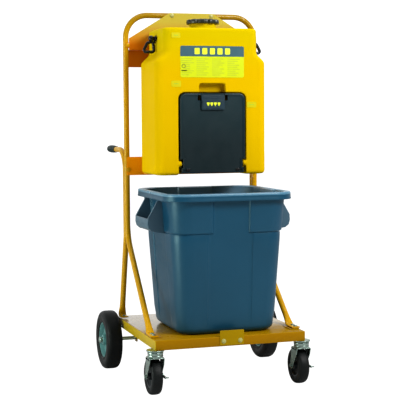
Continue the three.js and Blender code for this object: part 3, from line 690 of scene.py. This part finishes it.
# ---------------- wheels
def rear_wheel(side, label):
    body = f"rear_wheel_{label}"
    centre = middle(f"rear_tyre_{label}")
    (x0, x1), _, (z0, z1) = span(f"rear_tyre_{label}")
    half, outer = (x1 - x0) / 2, (z1 - z0) / 2
    rim = 76.3
    shoulder = [
        (rim, half - 6), (rim + 3, half - 2.5), (rim + 8, half - 1.5), (rim + 11, half - 3),
        (rim + 14, half - 1.2), (outer - 22, half), (outer - 14, half - 0.8), (outer - 8, half - 3.5),
        (outer - 4, half - 7.5), (outer - 2, half - 11.5), (outer - 2.6, half - 12.6),
        (outer - 1.2, half - 13.8), (outer - 0.4, half - 18), (outer, half - 27),
    ]
    tyre = turned(mirrored(shoulder), "x", centre, 96)
    piece(f"cart_tyre_{label}", f"rear_tyre_{label}", body, tyre_skin, tyre)
    face = [
        (8.3, 31), (19, 31), (20.5, 30), (22, 27), (23, 12), (26, 9), (34, 8), (44, 12), (52, 13.5), (58, 12),
        (63, 8), (66, 9), (68.5, 14), (70, 24), (71.5, 26.5), (75, 27), (76, 26), (75.6, 22), (73, 20),
        (72.6, 12), (73.5, 0),
    ]
    disc = turned(mirrored(face), "x", centre, 80)
    rivet_count, rivet_circle = 6, 48
    dome = [(0, 16.6), (3, 16.2), (5.2, 14.6), (5.6, 12.4), (0, 12.4)]
    rivets = []
    for k in range(rivet_count):
        angle = 2 * pi * k / rivet_count + 0.3
        spot = centre + Vector((0, rivet_circle * cos(angle), rivet_circle * sin(angle)))
        rivets += [turned([(r, sign * h) for r, h in dome], "x", spot, 16) for sign in (-1, 1)]
    piece(f"cart_wheel_disc_{label}", f"rear_wheel_disc_{label}", body, wheel_zinc_skin, disc, *rivets)
    inner, tip = span(f"hub_cap_{label}")[0][::side]
    profile = [
        (0, inner), (14, inner), (14.4, lerp(inner, tip, 0.15)), (14, lerp(inner, tip, 0.5)),
        (11.5, lerp(inner, tip, 0.82)), (7, lerp(inner, tip, 0.97)), (0, tip),
    ]
    cap = turned(profile, "x", (0, centre.y, centre.z), 32)
    piece(f"axle_cap_{label}", f"hub_cap_{label}", body, zinc_skin, cap)


def caster(label):
    fork_body, wheel_body = f"caster_{label}", f"caster_wheel_{label}"
    wheel = middle(f"caster_tyre_{label}")
    (x0, x1), _, (z0, z1) = span(f"caster_tyre_{label}")
    half, outer = (x1 - x0) / 2, (z1 - z0) / 2
    shoulder = [
        (48.3, half - 4), (50, half - 1.2), (54, half - 0.4), (outer - 10, half), (outer - 5.5, half - 1.6),
        (outer - 2.6, half - 4.6), (outer - 1.0, half - 9), (outer - 0.2, half - 15), (outer, half - 20),
    ]
    tyre = turned(mirrored(shoulder), "x", wheel, 80)
    piece(f"caster_tread_{label}", f"caster_tyre_{label}", wheel_body, tyre_skin, tyre)
    face = [
        (5.3, 23.5), (12.5, 23.5), (14, 22), (15, 10), (18, 7.5), (30, 6.5), (36, 8), (39, 12), (41, 18),
        (44, 19.5), (47.4, 19), (47.8, 16), (47.8, 0),
    ]
    hub = turned(mirrored(face), "x", wheel, 64)
    piece(f"caster_hub_{label}", f"caster_core_{label}", wheel_body, core_skin, hub)
    caster_plate(label)
    caster_fork(label, fork_body, wheel)
    bolt_shapes = [
        rod(5, -34, 38, "x", wheel),
        hex_bolt("x", -1, wheel + Vector((-31.4, 0, 0)), 8.6, 5.5, 10),
        hex_bolt("x", 1, wheel + Vector((39, 0, 0)), 8.6, 3.2, 9),
    ]
    piece(f"caster_bolt_{label}", f"caster_axle_{label}", fork_body, zinc_skin, *bolt_shapes)
    brake_lever(label, wheel)


def caster_plate(label):
    (x0, x1), (y0, y1), (z0, z1) = span(f"caster_plate_{label}")
    centre = ((x0 + x1) / 2, (y0 + y1) / 2, 0)
    edge = (x1 - x0) / 2 - 1.5
    plate = rod(edge, z1 - 5, z1, "z", centre, 56, edge=0.8)
    kingpin = turned([(0, z0), (10.4, z0), (11, z0 + 0.8), (11, z1 - 4), (0, z1 - 4)], "z", centre, 32)
    piece(f"caster_mount_{label}", f"caster_plate_{label}", "cart", zinc_skin, plate, kingpin, bevel=0.5)


def caster_fork(label, body, wheel):
    crown = span(f"caster_fork_{label}")[2][1]
    pivot = middle(f"caster_plate_{label}")
    under = 158
    race = turned(
        [(11.3, under - 4), (26, under - 4), (29, under - 3), (31, under + 1), (31.5, under + 5),
         (30, under + 8), (32, crown - 8), (31.5, crown - 4), (29, crown - 0.8), (27, crown), (11.3, crown),
         (11.3, under - 4)],
        "z", (pivot.x, pivot.y, 0), 56,
    )
    leg_in, leg_out = 28.2, 31.2
    back, front = pivot.y + 34, pivot.y - 27
    high, low = under - 3, wheel.z - 13
    leg = [
        (front, high), (pivot.y - 20, high - 26), (wheel.y - 13, wheel.z), (wheel.y - 10, wheel.z - 9),
        (wheel.y, low), (wheel.y + 10, wheel.z - 9), (wheel.y + 13, wheel.z), (back, high - 24), (back, high),
    ]
    leg = flat_outline(leg, 5, 5)
    starts = [pivot.x - leg_out, pivot.x + leg_in]
    legs = [slab(leg, "x", start, start + leg_out - leg_in) for start in starts]
    arch = [
        (-leg_out, under - 12), (-leg_out, under - 6), (-27, under - 2.6), (27, under - 2.6),
        (leg_out, under - 6), (leg_out, under - 12), (leg_in, under - 12), (leg_in, under - 7),
        (26, under - 5.6), (-26, under - 5.6), (-leg_in, under - 7), (-leg_in, under - 12),
    ]
    top = slab([(pivot.x + x, z) for x, z in arch], "y", front, back)
    piece(f"caster_yoke_{label}", f"caster_fork_{label}", body, zinc_skin, race, top, *legs, bevel=0.9)


def brake_lever(label, wheel):
    (x0, x1), (y0, _), _ = span(f"brake_lever_{label}")
    thick = 3.8
    eye = turned(
        [(5.3, x0), (10, x0), (11, x0 + 1), (11, x0 + thick - 1), (10, x0 + thick), (5.3, x0 + thick),
         (5.3, x0)],
        "x", (0, wheel.y, wheel.z), 32,
    )
    arm = [
        (wheel.y - 6, wheel.z + 6), (y0 + 12, wheel.z + 4.5), (y0 + 4, wheel.z + 4.5), (y0 + 4, wheel.z - 4),
        (y0 + 12, wheel.z - 4.5), (wheel.y - 6, wheel.z - 6),
    ]
    lever = slab(flat_outline(arm, 2.5, 4), "x", x0, x0 + thick)
    pedal_outline = [(x0, y0 + 15), (x0, y0), (x1 - 2, y0 + 1), (x1, y0 + 7), (x1 - 4, y0 + 13)]
    pedal = slab(flat_outline(pedal_outline, 2.0, 4), "z", wheel.z - 1.4, wheel.z + 1.8)
    piece(
        f"brake_pedal_{label}", f"brake_lever_{label}", f"brake_{label}", zinc_skin,
        eye, lever, pedal, bevel=0.5,
    )


# ---------------- tank
(_, TANK_HALF), (_, TANK_BACK), (TANK_LOW, NECK_TOP) = span("tank_shell")
TANK_FRONT = span("instruction_label")[1][1] + GAP
TANK_NARROW = 204.0
TANK_TOP, SHOULDER, NECK_START = 1466.0, 1329.0, 1362.0
POCKET_HALF, POCKET_TOP = 147, 1201
RECESS_HALF, RECESS_TOP = 57, 1238
FILLER_Y, LOOP_Z = middle("filler_cap").y, 1427.0
HINGE = middle("hinge_pin_right")
PIN_START = span("hinge_pin_right")[0][0]


def tank_body():
    depth = (TANK_BACK - TANK_FRONT) / 2
    centre = (0, (TANK_FRONT + TANK_BACK) / 2)

    def ring(z, half, pull):
        outline = rounded(half - pull, depth - pull, 38 - pull * 0.6, 14, centre)
        return [(x, y, z) for x, y in outline]

    def round_edge(radius):
        return [(radius * (1 - cos(a)), radius * (1 - sin(a))) for a in quarter(6)]

    rings = [ring(TANK_LOW + rise, TANK_HALF, pull) for rise, pull in round_edge(14)]
    for k in range(13):
        share = k / 12
        z = lerp(SHOULDER - 8, NECK_START + 8, share)
        rings.append(ring(z, lerp(TANK_HALF, TANK_NARROW, ease(share)), 0))
    rings += [ring(TANK_TOP - rise, TANK_NARROW, pull) for rise, pull in reversed(round_edge(11))]
    return skin(rings)


def tank():
    shell = object_of("water_tank", tank_body())
    neck = [
        (0, TANK_TOP - 20), (62, TANK_TOP - 20), (60, TANK_TOP + 2), (57, TANK_TOP + 6), (56, NECK_TOP - 2),
        (55, NECK_TOP), (0, NECK_TOP),
    ]
    combine(shell, "UNION", "neck", turned(neck, "z", (0, FILLER_Y, 0), 64))
    outline = rounded(POCKET_HALF, 210, 27, 10, (0, POCKET_TOP - 210))
    combine(shell, "DIFFERENCE", "pocket", slab(outline, "y", TANK_FRONT - 30, 45))
    recess = rounded(RECESS_HALF, 40, 9, 6, (0, RECESS_TOP - 40))
    combine(shell, "DIFFERENCE", "recess", slab(recess, "y", TANK_FRONT - 30, TANK_FRONT + 34))
    combine(shell, "DIFFERENCE", "throat", rod(46, 1452, 1510, "z", (0, FILLER_Y, 0), 64))
    for side in (-1, 1):
        x0, x1 = sorted((side * (PIN_START + 14.5), side * 152))
        boss = [(0, x0), (9.5, x0), (12, x0 + 3), (12, x1 - 3), (9.5, x1), (0, x1)]
        combine(shell, "UNION", "boss", turned(boss, "x", (0, HINGE.y, HINGE.z), 32))
        dimple = rod(17, -8, 3, "x", (side * TANK_NARROW, FILLER_Y, LOOP_Z), 40)
        combine(shell, "DIFFERENCE", "dimple", dimple)
    remesh = shell.modifiers.new("remesh", "REMESH")
    remesh.mode = "VOXEL"
    remesh.voxel_size = 0.0032
    remesh.use_smooth_shade = True
    relax = shell.modifiers.new("relax", "SMOOTH")
    relax.factor = 0.5
    relax.iterations = 7
    baked(shell)
    shell.data.shade_smooth()
    dress(shell, "tank_shell", "cart", tank_skin)


def tank_labels():
    (x0, x1), (y0, y1), (z0, z1) = span("instruction_label")
    outline = rounded(x1, (z1 - z0) / 2, 8, 6, (0, (z0 + z1) / 2))
    sheet = slab(outline, "y", y0, y1)
    piece("label_sheet", "instruction_label", "cart", label_skin, sheet)
    split, front, behind = 1348.0, y0 - 0.25, y0 + 0.1
    banner = slab([(x1, split), *(p for p in outline if p[1] > split), (x0, split)], "y", front, behind)
    piece("label_banner_field", None, "cart", banner_skin, banner)
    marks = [
        slab(rounded(11, 13, 4, 4, (x, 1369.5)), "y", front - 0.25, front + 0.1)
        for x in (-66, -33, 0, 33, 66)
    ]
    piece("label_banner_marks", None, "cart", bright_mark_skin, *marks)
    first_line, line_step, longest = 1338, 8.2, 27
    widths = (26, 22, 27, 18, 25, 20, 27, 23, 16)
    lines = []
    for column, x in enumerate((-107, -42, 25, 92)):
        for row in range(9):
            width, shift = widths[(row + 2 * column) % 9], 0
            if column == 0 and 2 < row < 6:
                width, shift = 12, 14
            centre = (x + shift - longest + width, first_line - row * line_step)
            lines.append(slab(rounded(width, 1.5, 0.7, 2, centre), "y", front, behind))
    piece("label_text_bars", None, "cart", mark_skin, *lines)
    ring = [(5.5, y0 - 0.3), (9, y0 - 0.3), (9, behind), (5.5, behind), (5.5, y0 - 0.3)]
    badge = turned(ring, "y", (-124, 0, 1308), 32)
    stripe = slab(rounded(12, 2.5, 1, 2, (-122, 1290)), "y", front, behind)
    piece("label_badge", None, "cart", dark_mark_skin, badge, stripe)
    for name, cx, cz, half_x, half_z in (
        ("small_label_top", -156, 1433, 19, 11), ("small_label_side", -156, 1236, 21, 13),
        ("small_label_right", 172, 1150, 21, 12),
    ):
        spot = slab(rounded(half_x, half_z, 4, 5, (cx, cz)), "y", TANK_FRONT - 0.9, TANK_FRONT + 0.4)
        mark = slab(rounded(half_x * 0.5, 2, 1, 2, (cx, cz)), "y", TANK_FRONT - 1.1, TANK_FRONT - 0.8)
        piece(name, None, "cart", small_label_skin, spot, bevel=0.3)
        piece(name + "_mark", None, "cart", mark_skin, mark)


def filler_cap():
    (x0, x1), _, (z0, z1) = span("filler_cap")
    outer = (x1 - x0) / 2
    lobes, lobe_depth = 10, 6.5

    def wave(angle, radius):
        if radius < outer - 12:
            return radius
        swell = 0.5 + 0.5 * cos(lobes * angle)
        return radius - lobe_depth * (1 - ease(swell * 1.7))

    r = outer
    profile = [
        (57.8, z0), (r - 2, z0), (r - 0.6, z0 + 1.2), (r, z0 + 4), (r, z1 - 7), (r - 0.8, z1 - 4),
        (r - 3, z1 - 1.4), (r - 6, z1 - 0.3), (r - 9, z1), (50, z1), (47, z1 - 0.6), (46, z1 - 2.2),
        (30, z1 - 2.4), (0, z1 - 2.4), (0, z1 - 4.6), (57.8, z1 - 4.7), (57.8, z0),
    ]
    centre = (0, FILLER_Y, 0)
    body = turned(profile, "z", centre, 160, wave)
    rib = slab(rounded(44, 5.5, 3, 5, (0, FILLER_Y)), "z", z1 - 3.2, z1 - 0.4)
    obj = piece("tank_cap", "filler_cap", "cap", cap_skin, body, rib, angle=50)
    soften(obj, 0.8, angle=55, segments=2)
    (_, r), _, (z0, z1) = span("cap_seal")
    profile = [(47, z0), (r - 0.4, z0), (r, z0 + 0.6), (r, z1 - 0.6), (r - 0.4, z1), (47, z1), (47, z0)]
    piece("cap_gasket", "cap_seal", "seal", black_skin, turned(profile, "z", centre, 64))


def side_loops():
    for side, label in SIDES:
        ball, wall = side * 225.0, side * (TANK_NARROW + 1.6)
        sphere = [(12.6 * sin(a), -12.6 * cos(a)) for a in (k * pi / 14 for k in range(15))]
        knob = turned([(max(r, 0.0), h) for r, h in sphere], "x", (ball, FILLER_Y, LOOP_Z), 40)
        stem = rod(5, -18, 12, "x", (side * 213, FILLER_Y, LOOP_Z))
        rim = [(0, -1.2), (10.5, -1.2), (11, 0), (10.5, 1.2), (0, 1.2)]
        flange = turned(rim, "x", (wall, FILLER_Y, LOOP_Z), 32)
        piece(f"loop_ball_{label}", f"loop_stud_{label}", "cart", black_skin, knob, stem, flange)
        corners = [(217, 1414), (213, 1371), (262, 1371), (241, 1409)]
        path = closed_fillet([Vector((side * x, FILLER_Y, z)) for x, z in corners], 9, 8)
        ring = sweep(path, lambda i: circle(6.4, 20), up=(0, 1, 0), closed=True)
        eye_path = [Vector((side * 209.4, FILLER_Y + y, LOOP_Z + z)) for y, z in circle(8.4)]
        eye = sweep(eye_path, lambda i: circle(2.3, 12), up=(1, 0, 0), closed=True)
        neck = turned([(0, -8), (5.4, -8), (4.4, 6), (0, 6)], "z", (side * 211, FILLER_Y, 1416), 20)
        piece(f"hanging_loop_{label}", f"carry_loop_{label}", f"loop_{label}", black_skin, ring, eye, neck)


# ---------------- spray door
def door_outline(inset):
    """Front outline of the door: round upper corners, a notch round each hinge boss."""
    (_, half), _, (z0, z1) = span("spray_door")
    corner = 25.0
    notch_x, notch_reach, foot_half = PIN_START + 11, 17.0, half - 5
    radius = corner - inset
    lift = min(inset, 5.0)
    above, below = HINGE.z + notch_reach + lift, HINGE.z - notch_reach - inset
    right = [
        (foot_half - inset, z0 + lift), (foot_half - inset, below), (notch_x - inset, below),
        (notch_x - inset, above), (half - inset, above),
    ]
    right += [(half - corner + radius * cos(a), z1 - corner + radius * sin(a)) for a in quarter(10)]
    return right + [(-x, z) for x, z in reversed(right)]


def spray_door():
    _, (front, back), (z0, z1) = span("spray_door")
    # How far each ring is pulled in, and how far it lies behind the front.
    face = (
        (0, 4), (0.5, 2), (1.6, 0.6), (3.4, 0), (6.5, 0), (7.5, 0.4), (11.5, 2.6), (12.6, 3.0), (14.0, 3.1),
        (15.0, 3.1),
    )
    depths = [(4, front + 4), (4, back), (3, back), (0.6, back), (0, back - 0.8)]
    depths += [(inset, front + behind) for inset, behind in face]
    obj = object_of("door_panel", skin([[(x, y, z) for x, z in door_outline(inset)] for inset, y in depths]))
    (_, tab_half), _, (tab_low, _) = span("pull_tab")
    seat = rounded(tab_half + 3, 40, 4, 4, (0, tab_low - 3 + 40))
    combine(obj, "DIFFERENCE", "seat", slab(seat, "y", front - 3, front + 3.5))
    pipe_x = span("outlet_elbow")[0][0] + PIPE_INSET
    notch = block((pipe_x - 14, pipe_x + 14), (front + 4, back + 1), (z0 - 1, z0 + 10))
    combine(obj, "DIFFERENCE", "pipe_notch", notch)
    for side in (-1, 1):
        clip = slab(rounded(7, 11, 2, 3, (side * 58, z1 - 18)), "y", front - 3, front + 7)
        combine(obj, "DIFFERENCE", "clip", clip)
    shade(obj, 30)
    dress(obj, "spray_door", "door", door_skin)
    pads = [
        slab(rounded(8, 5, 2, 3, (side * 108, z0 + 14)), "y", front - 0.6, front + 1.4) for side in (-1, 1)
    ]
    piece("door_hinge_pads", None, "door", black_skin, *pads, slot="door_plastic", bevel=0.5)


def pull_tab():
    (_, half), (front, back), (z0, z1) = span("pull_tab")
    base = slab(rounded(half, (z1 - z0) / 2, 5, 6, (0, (z0 + z1) / 2)), "y", front + 2.6, back)
    low, top = z0 + 4, z0 + 41
    centre_z = (low + top) / 2
    raised = slab(rounded(half - 4, (top - low) / 2, 5, 6, (0, centre_z)), "y", front + 0.2, front + 3.2)
    bands = [
        slab(rounded(half - 8, 1.3, 1.2, 3, (0, z1 - drop)), "y", front + 1.7, front + 3.0)
        for drop in (6, 12)
    ]
    piece("door_tab_moulding", "pull_tab", "door_tab", tab_skin, base, raised, *bands, bevel=0.8)
    arrow = [(-6, 8), (6, 8), (6, 2), (0, -8), (-6, 2)]
    marks = []
    for k in range(4):
        x = (k - 1.5) * 15.5
        corners = [(x + u, centre_z + v) for u, v in arrow]
        marks.append(slab(flat_outline(corners, 1.2, 3), "y", front - 0.2, front + 0.5))
    piece("door_tab_marks", None, "door_tab", bright_mark_skin, *marks)


PIPE_INSET = 16
RISER_TOP, HEAD_X = 1075.0, 52.0


def spray_fittings():
    y, z = HINGE.y, HINGE.z
    pivot = [
        (0, -51.7), (9, -51.7), (9, -44), (11, -43), (11, -36), (9, -35), (9, 35), (11, 36), (11, 44),
        (9, 45), (9, 52), (0, 52),
    ]
    cross = [
        (0, -62), (8.2, -62), (8.2, -46), (7, -45), (7, -12), (9, -11), (9, 11), (7, 12), (7, 45), (8.2, 46),
        (8.2, 62), (0, 62),
    ]
    pipes = [
        turned(pivot, "x", (0, y, z), 32),
        rod(7, z, RISER_TOP, "z", (0, y - 1, 0), 28),
        turned(cross, "x", (0, y - 1, RISER_TOP), 28),
        *(rod(6, -4, 12, "y", (side * HEAD_X, y, RISER_TOP)) for side in (-1, 1)),
    ]
    piece("door_pipes", "spray_manifold", "door", fitting_skin, *pipes)
    for side, label in SIDES:
        spray_head(side, label)
        pin = rod(5, *span(f"hinge_pin_{label}")[0], "x", (0, y, z), edge=0.8)
        piece(f"door_pin_{label}", f"hinge_pin_{label}", "cart", zinc_skin, pin)
    outlet_pipe(y, z)


def spray_head(side, label):
    y0, y1 = span(f"spray_head_{label}")[1]
    profile = [
        (0, y0), (9, y0), (10, y0 + 4), (13, y0 + 7), (19, y0 + 11), (20, y0 + 13), (20, y1 - 1), (19, y1),
        (17.4, y1 - 0.4), (16.8, y1 - 3), (16, y1 - 5), (0, y1 - 4),
    ]
    head = turned(profile, "y", (side * HEAD_X, 0, RISER_TOP), 48)
    nub = [(0, y1 - 5), (1.3, y1 - 5), (1.1, y1 - 3.4), (0, y1 - 3.2)]
    nubs = [
        turned(nub, "y", (side * HEAD_X + x, 0, RISER_TOP + z), 10)
        for radius, count in ((5, 6), (10.5, 12)) for x, z in circle(radius, count)
    ]
    piece(f"eye_spray_{label}", f"spray_head_{label}", "door", fitting_skin, head, *nubs)


def outlet_pipe(y, z):
    (x0, x1), (_, y1), _ = span("outlet_elbow")
    pipe_x = x0 + PIPE_INSET
    path = fillet([(pipe_x, y1, z), (pipe_x, y, z), (x1, y, z)], [18], 12)
    pipe = sweep(path, lambda i: circle(9))
    flange = [(0, y1 - 5.7), (15, y1 - 5.7), (16, y1 - 4.7), (16, y1), (0, y1)]
    flange = turned(flange, "y", (pipe_x, 0, z), 32)
    nut = turned([(9, -6), (12.5, -6), (12.5, 4), (9, 4), (9, -6)], "y", (pipe_x, 20, z), 6)
    piece("outlet_pipe", "outlet_elbow", "cart", fitting_skin, pipe, flange, nut)


# ---------------- waste container
BIN_X, BIN_Y = 8.0, -51.0
BIN_LOW, BIN_TOP = span("waste_container")[2]
LOW_HALF, TOP_HALF = 205.0, 244.0
PANEL_EDGE, PANEL_LOW, PANEL_RAISE = 74.0, 637.0, 7
STEP_EDGE, STEP_RAISE = 93.0, 2.6


def bin_half(z):
    return lerp(LOW_HALF, TOP_HALF, (z - DECK_TOP) / (BIN_TOP - DECK_TOP))


def bin_ring(z, half, corner, raise_by, step_by=0.0):
    """Square outline: corner panels stand out by raise_by, the wider fields beside the middle by step_by."""
    outer = half + raise_by + step_by

    def face(u):
        panel = ease((abs(u) - PANEL_EDGE + 1) / 7) * raise_by
        step = ease((abs(u) - STEP_EDGE + 1) / 2.4) * step_by
        return half + panel + step

    stops = [PANEL_EDGE + 6 - k for k in range(8)] + [STEP_EDGE + 2.5 - k * 0.9 for k in range(5)]
    stops = sorted(set(stops + [60, 40, 20]), reverse=True)
    stops = [s for s in stops if s < half - corner]
    run = stops + [0] + [-s for s in reversed(stops)]
    local = [(outer - corner + corner * cos(a), outer - corner + corner * sin(a)) for a in quarter(12)]
    local += [(u, face(u)) for u in run]
    points = []
    for turn in [k * pi / 2 for k in range(4)]:
        c, s = cos(turn), sin(turn)
        points += [(BIN_X + x * c - y * s, BIN_Y + x * s + y * c, z) for x, y in local]
    return points


def bin_wall(inset, top_z):
    floor = BIN_LOW + inset
    low_corner, floor_round = 62, 26.0
    rings = []
    for a in quarter(8):
        z = floor + floor_round * (1 - cos(a))
        rings.append(bin_ring(z, bin_half(z) - inset - floor_round * (1 - sin(a)), low_corner, 0))
    side_from = 262
    for z, step in (
        (side_from, 0.0), (300, STEP_RAISE), (PANEL_LOW - 40, STEP_RAISE), (PANEL_LOW - 10, 1.8),
        (PANEL_LOW - 5, 0.4),
    ):
        corner = lerp(low_corner, 78, (z - side_from) / 370)
        rings.append(bin_ring(z, bin_half(z) - inset, corner, 0, step))
    for rise, share in ((-3, 0.0), (-1.6, 0.3), (0, 0.72), (2, 0.95), (5, 1.0)):
        z = PANEL_LOW + rise
        rings.append(bin_ring(z, bin_half(z) - inset, 79 + 4 * share, PANEL_RAISE * share))
    rings.append(bin_ring(top_z, bin_half(top_z) - inset, 84, PANEL_RAISE))
    return rings


def waste_container():
    rim_half, rim_corner, under = 273.0, 95.0, BIN_TOP - 30
    # Height of each ring of the rim, and how far it is pulled in.
    rim = (
        (under + 4, 5), (under, 3.6), (under - 0.2, 1.4), (under + 1, 0.2), (under + 3, 0), (under + 8, 1.2),
        (BIN_TOP - 10, 2.0), (BIN_TOP - 5, 2.0), (BIN_TOP - 2, 2.9), (BIN_TOP - 0.5, 5.2), (BIN_TOP, 8.5),
        (BIN_TOP, 20), (BIN_TOP - 1, 23.5),
    )
    rings = bin_wall(0, BIN_TOP - 28)
    rings += [bin_ring(z, rim_half - pull, rim_corner - pull, 0) for z, pull in rim]
    for drop, inset, raise_by in ((4, 2, 5), (14, 4, 7)):
        rings.append(bin_ring(BIN_TOP - drop, bin_half(BIN_TOP) - inset, 84, raise_by))
    rings += reversed(bin_wall(4, BIN_TOP - 30))
    obj = piece("waste_bin", "waste_container", "container", container_skin, skin(rings), angle=44)
    obj.data.materials.append(rim_lit_skin)
    obj.data.materials.append(inner_lit_skin)
    # Faces at the rim's top take the lighter copy, painted light on the top.
    rim_from = BIN_TOP / 1000 - 0.0085
    axis = mm(BIN_X, BIN_Y, 0).xy
    for face in obj.data.polygons:
        if face.center.z > rim_from:
            face.material_index = 1
        # Faces that look inwards take the lighter inner copy: painted light inside the bin.
        elif face.normal.xy.dot(face.center.xy - axis) < 0:
            face.material_index = 2
    handles = [shape for side in (-1, 1) for shape in container_handle(side)]
    piece("waste_bin_handles", None, "container", handle_lit_skin, *handles, bevel=2.2)


def container_handle(side):
    wall, out, web_top = bin_half(650), 309.0, 767
    front = [(out - 20, 638), (out - 5, 650), (out, 668), (out - 1, 692)]
    web = [(wall - 1, 630), *front, (265, web_top), (wall + 4, web_top)]
    grip = [*front, (out - 9, 690), (out - 7, 670), (out - 11, 657), (out - 22, 648)]

    def place(points):
        return [(BIN_X + side * x, z) for x, z in points]

    shapes = [slab(place(web), "y", BIN_Y + y, BIN_Y + y + 9) for y in (-98, 89)]
    shapes.append(slab(flat_outline(place(grip), 2.5, 4), "y", BIN_Y - 90, BIN_Y + 90))
    return shapes


# ---------------- build
main_tube()
foot_plates()
deck()
bolts()
upper_plate()
rails()
axle_parts()
for side, label in SIDES:
    rear_tube(side, label)
    rear_wheel(side, label)
    caster(label)
tank()
tank_labels()
filler_cap()
side_loops()
spray_door()
pull_tab()
spray_fittings()
waste_container()


# ---------------- floor, light and camera
def white_to_camera(tree, shaded, strength):
    """A surface that the camera sees as nearly white, without changing the light it gives the object."""
    glow = new_node(tree, "Emission", Strength=strength)
    mix = new_node(tree, "MixShader")
    link(tree, shaded, mix.inputs[1])
    link(tree, glow.outputs["Emission"], mix.inputs[2])
    return mix, new_node(tree, "LightPath").outputs["Is Camera Ray"]


def stage_floor():
    reach = (-30000, 30000)
    floor = object_of("studio_floor", block(reach, reach, (-4, -0.05)))
    material, tree, shader = blank_material("studio_floor")
    set_inputs(shader, Base_Color=(0.62, 0.62, 0.62, 1), Roughness=0.9, Specular_IOR_Level=0.1)
    mix, seen = white_to_camera(tree, shader.outputs["BSDF"], 1.05)
    share = new_node(tree, "Math")
    share.operation = "MULTIPLY"
    share.inputs[1].default_value = 0.84
    link(tree, seen, share.inputs[0])
    link(tree, share.outputs["Value"], mix.inputs["Fac"])
    link(tree, mix.outputs["Shader"], tree.nodes["Material Output"].inputs["Surface"])
    floor.data.materials.append(material)


def area_light(name, place, aim, size, power, tint=(1, 1, 1)):
    data = bpy.data.lights.new(name, "AREA")
    data.shape = "RECTANGLE"
    data.size, data.size_y = size
    data.energy = power
    data.color = tint
    lamp = bpy.data.objects.new(name, data)
    lamp.location = place
    lamp.rotation_euler = (Vector(aim) - Vector(place)).to_track_quat("-Z", "Y").to_euler()
    scene.collection.objects.link(lamp)


def studio():
    world = bpy.data.worlds.new("studio")
    world.use_nodes = True
    scene.world = world
    tree = world.node_tree
    background = tree.nodes["Background"]
    heading = along(tree, new_node(tree, "TexCoord").outputs["Generated"], "Y")
    link(tree, ranged(tree, heading, 0.26, 0.85, -0.2, 0.7), background.inputs["Strength"])
    set_inputs(background, Color=WHITE)
    mix, seen = white_to_camera(tree, background.outputs["Background"], 1.05)
    link(tree, seen, mix.inputs["Fac"])
    link(tree, mix.outputs["Shader"], tree.nodes["World Output"].inputs["Surface"])
    area_light("key", (1.7, -3.0, 3.1), (0, 0, 0.9), (1.5, 1.5), 124)
    area_light("top", (0.1, -0.5, 3.4), (0, 0, 0.8), (2.4, 1.6), 22)
    area_light("left_fill", (-3.1, -0.4, 0.9), (0, 0, 0.7), (1.2, 1.8), 47, (0.9, 1.0, 0.93))
    scene.view_settings.view_transform = "Standard"
    scene.view_settings.look = "Medium High Contrast"


def camera():
    """The camera fitted to the photograph's edges."""
    data = bpy.data.cameras.new("photo_view")
    data.sensor_width = 36
    data.lens = 104.87
    data.clip_start, data.clip_end = 0.1, 200
    obj = bpy.data.objects.new("photo_view", data)
    yaw, pitch, roll = 0.311, -0.070, -0.006
    ahead = Vector((sin(yaw) * cos(pitch), cos(yaw) * cos(pitch), sin(pitch)))
    right = Vector((cos(yaw), -sin(yaw), 0))
    up = right.cross(ahead)
    turned_right = cos(roll) * right + sin(roll) * up
    turned_up = -sin(roll) * right + cos(roll) * up
    rows = Matrix((turned_right, turned_up, -ahead)).transposed()
    obj.matrix_world = Matrix.Translation((-1.52936, -4.66258 + MIDDLE_Y, 1.09457)) @ rows.to_4x4()
    scene.collection.objects.link(obj)
    scene.camera = obj


stage_floor()
studio()
camera()

bpy.context.view_layer.update()
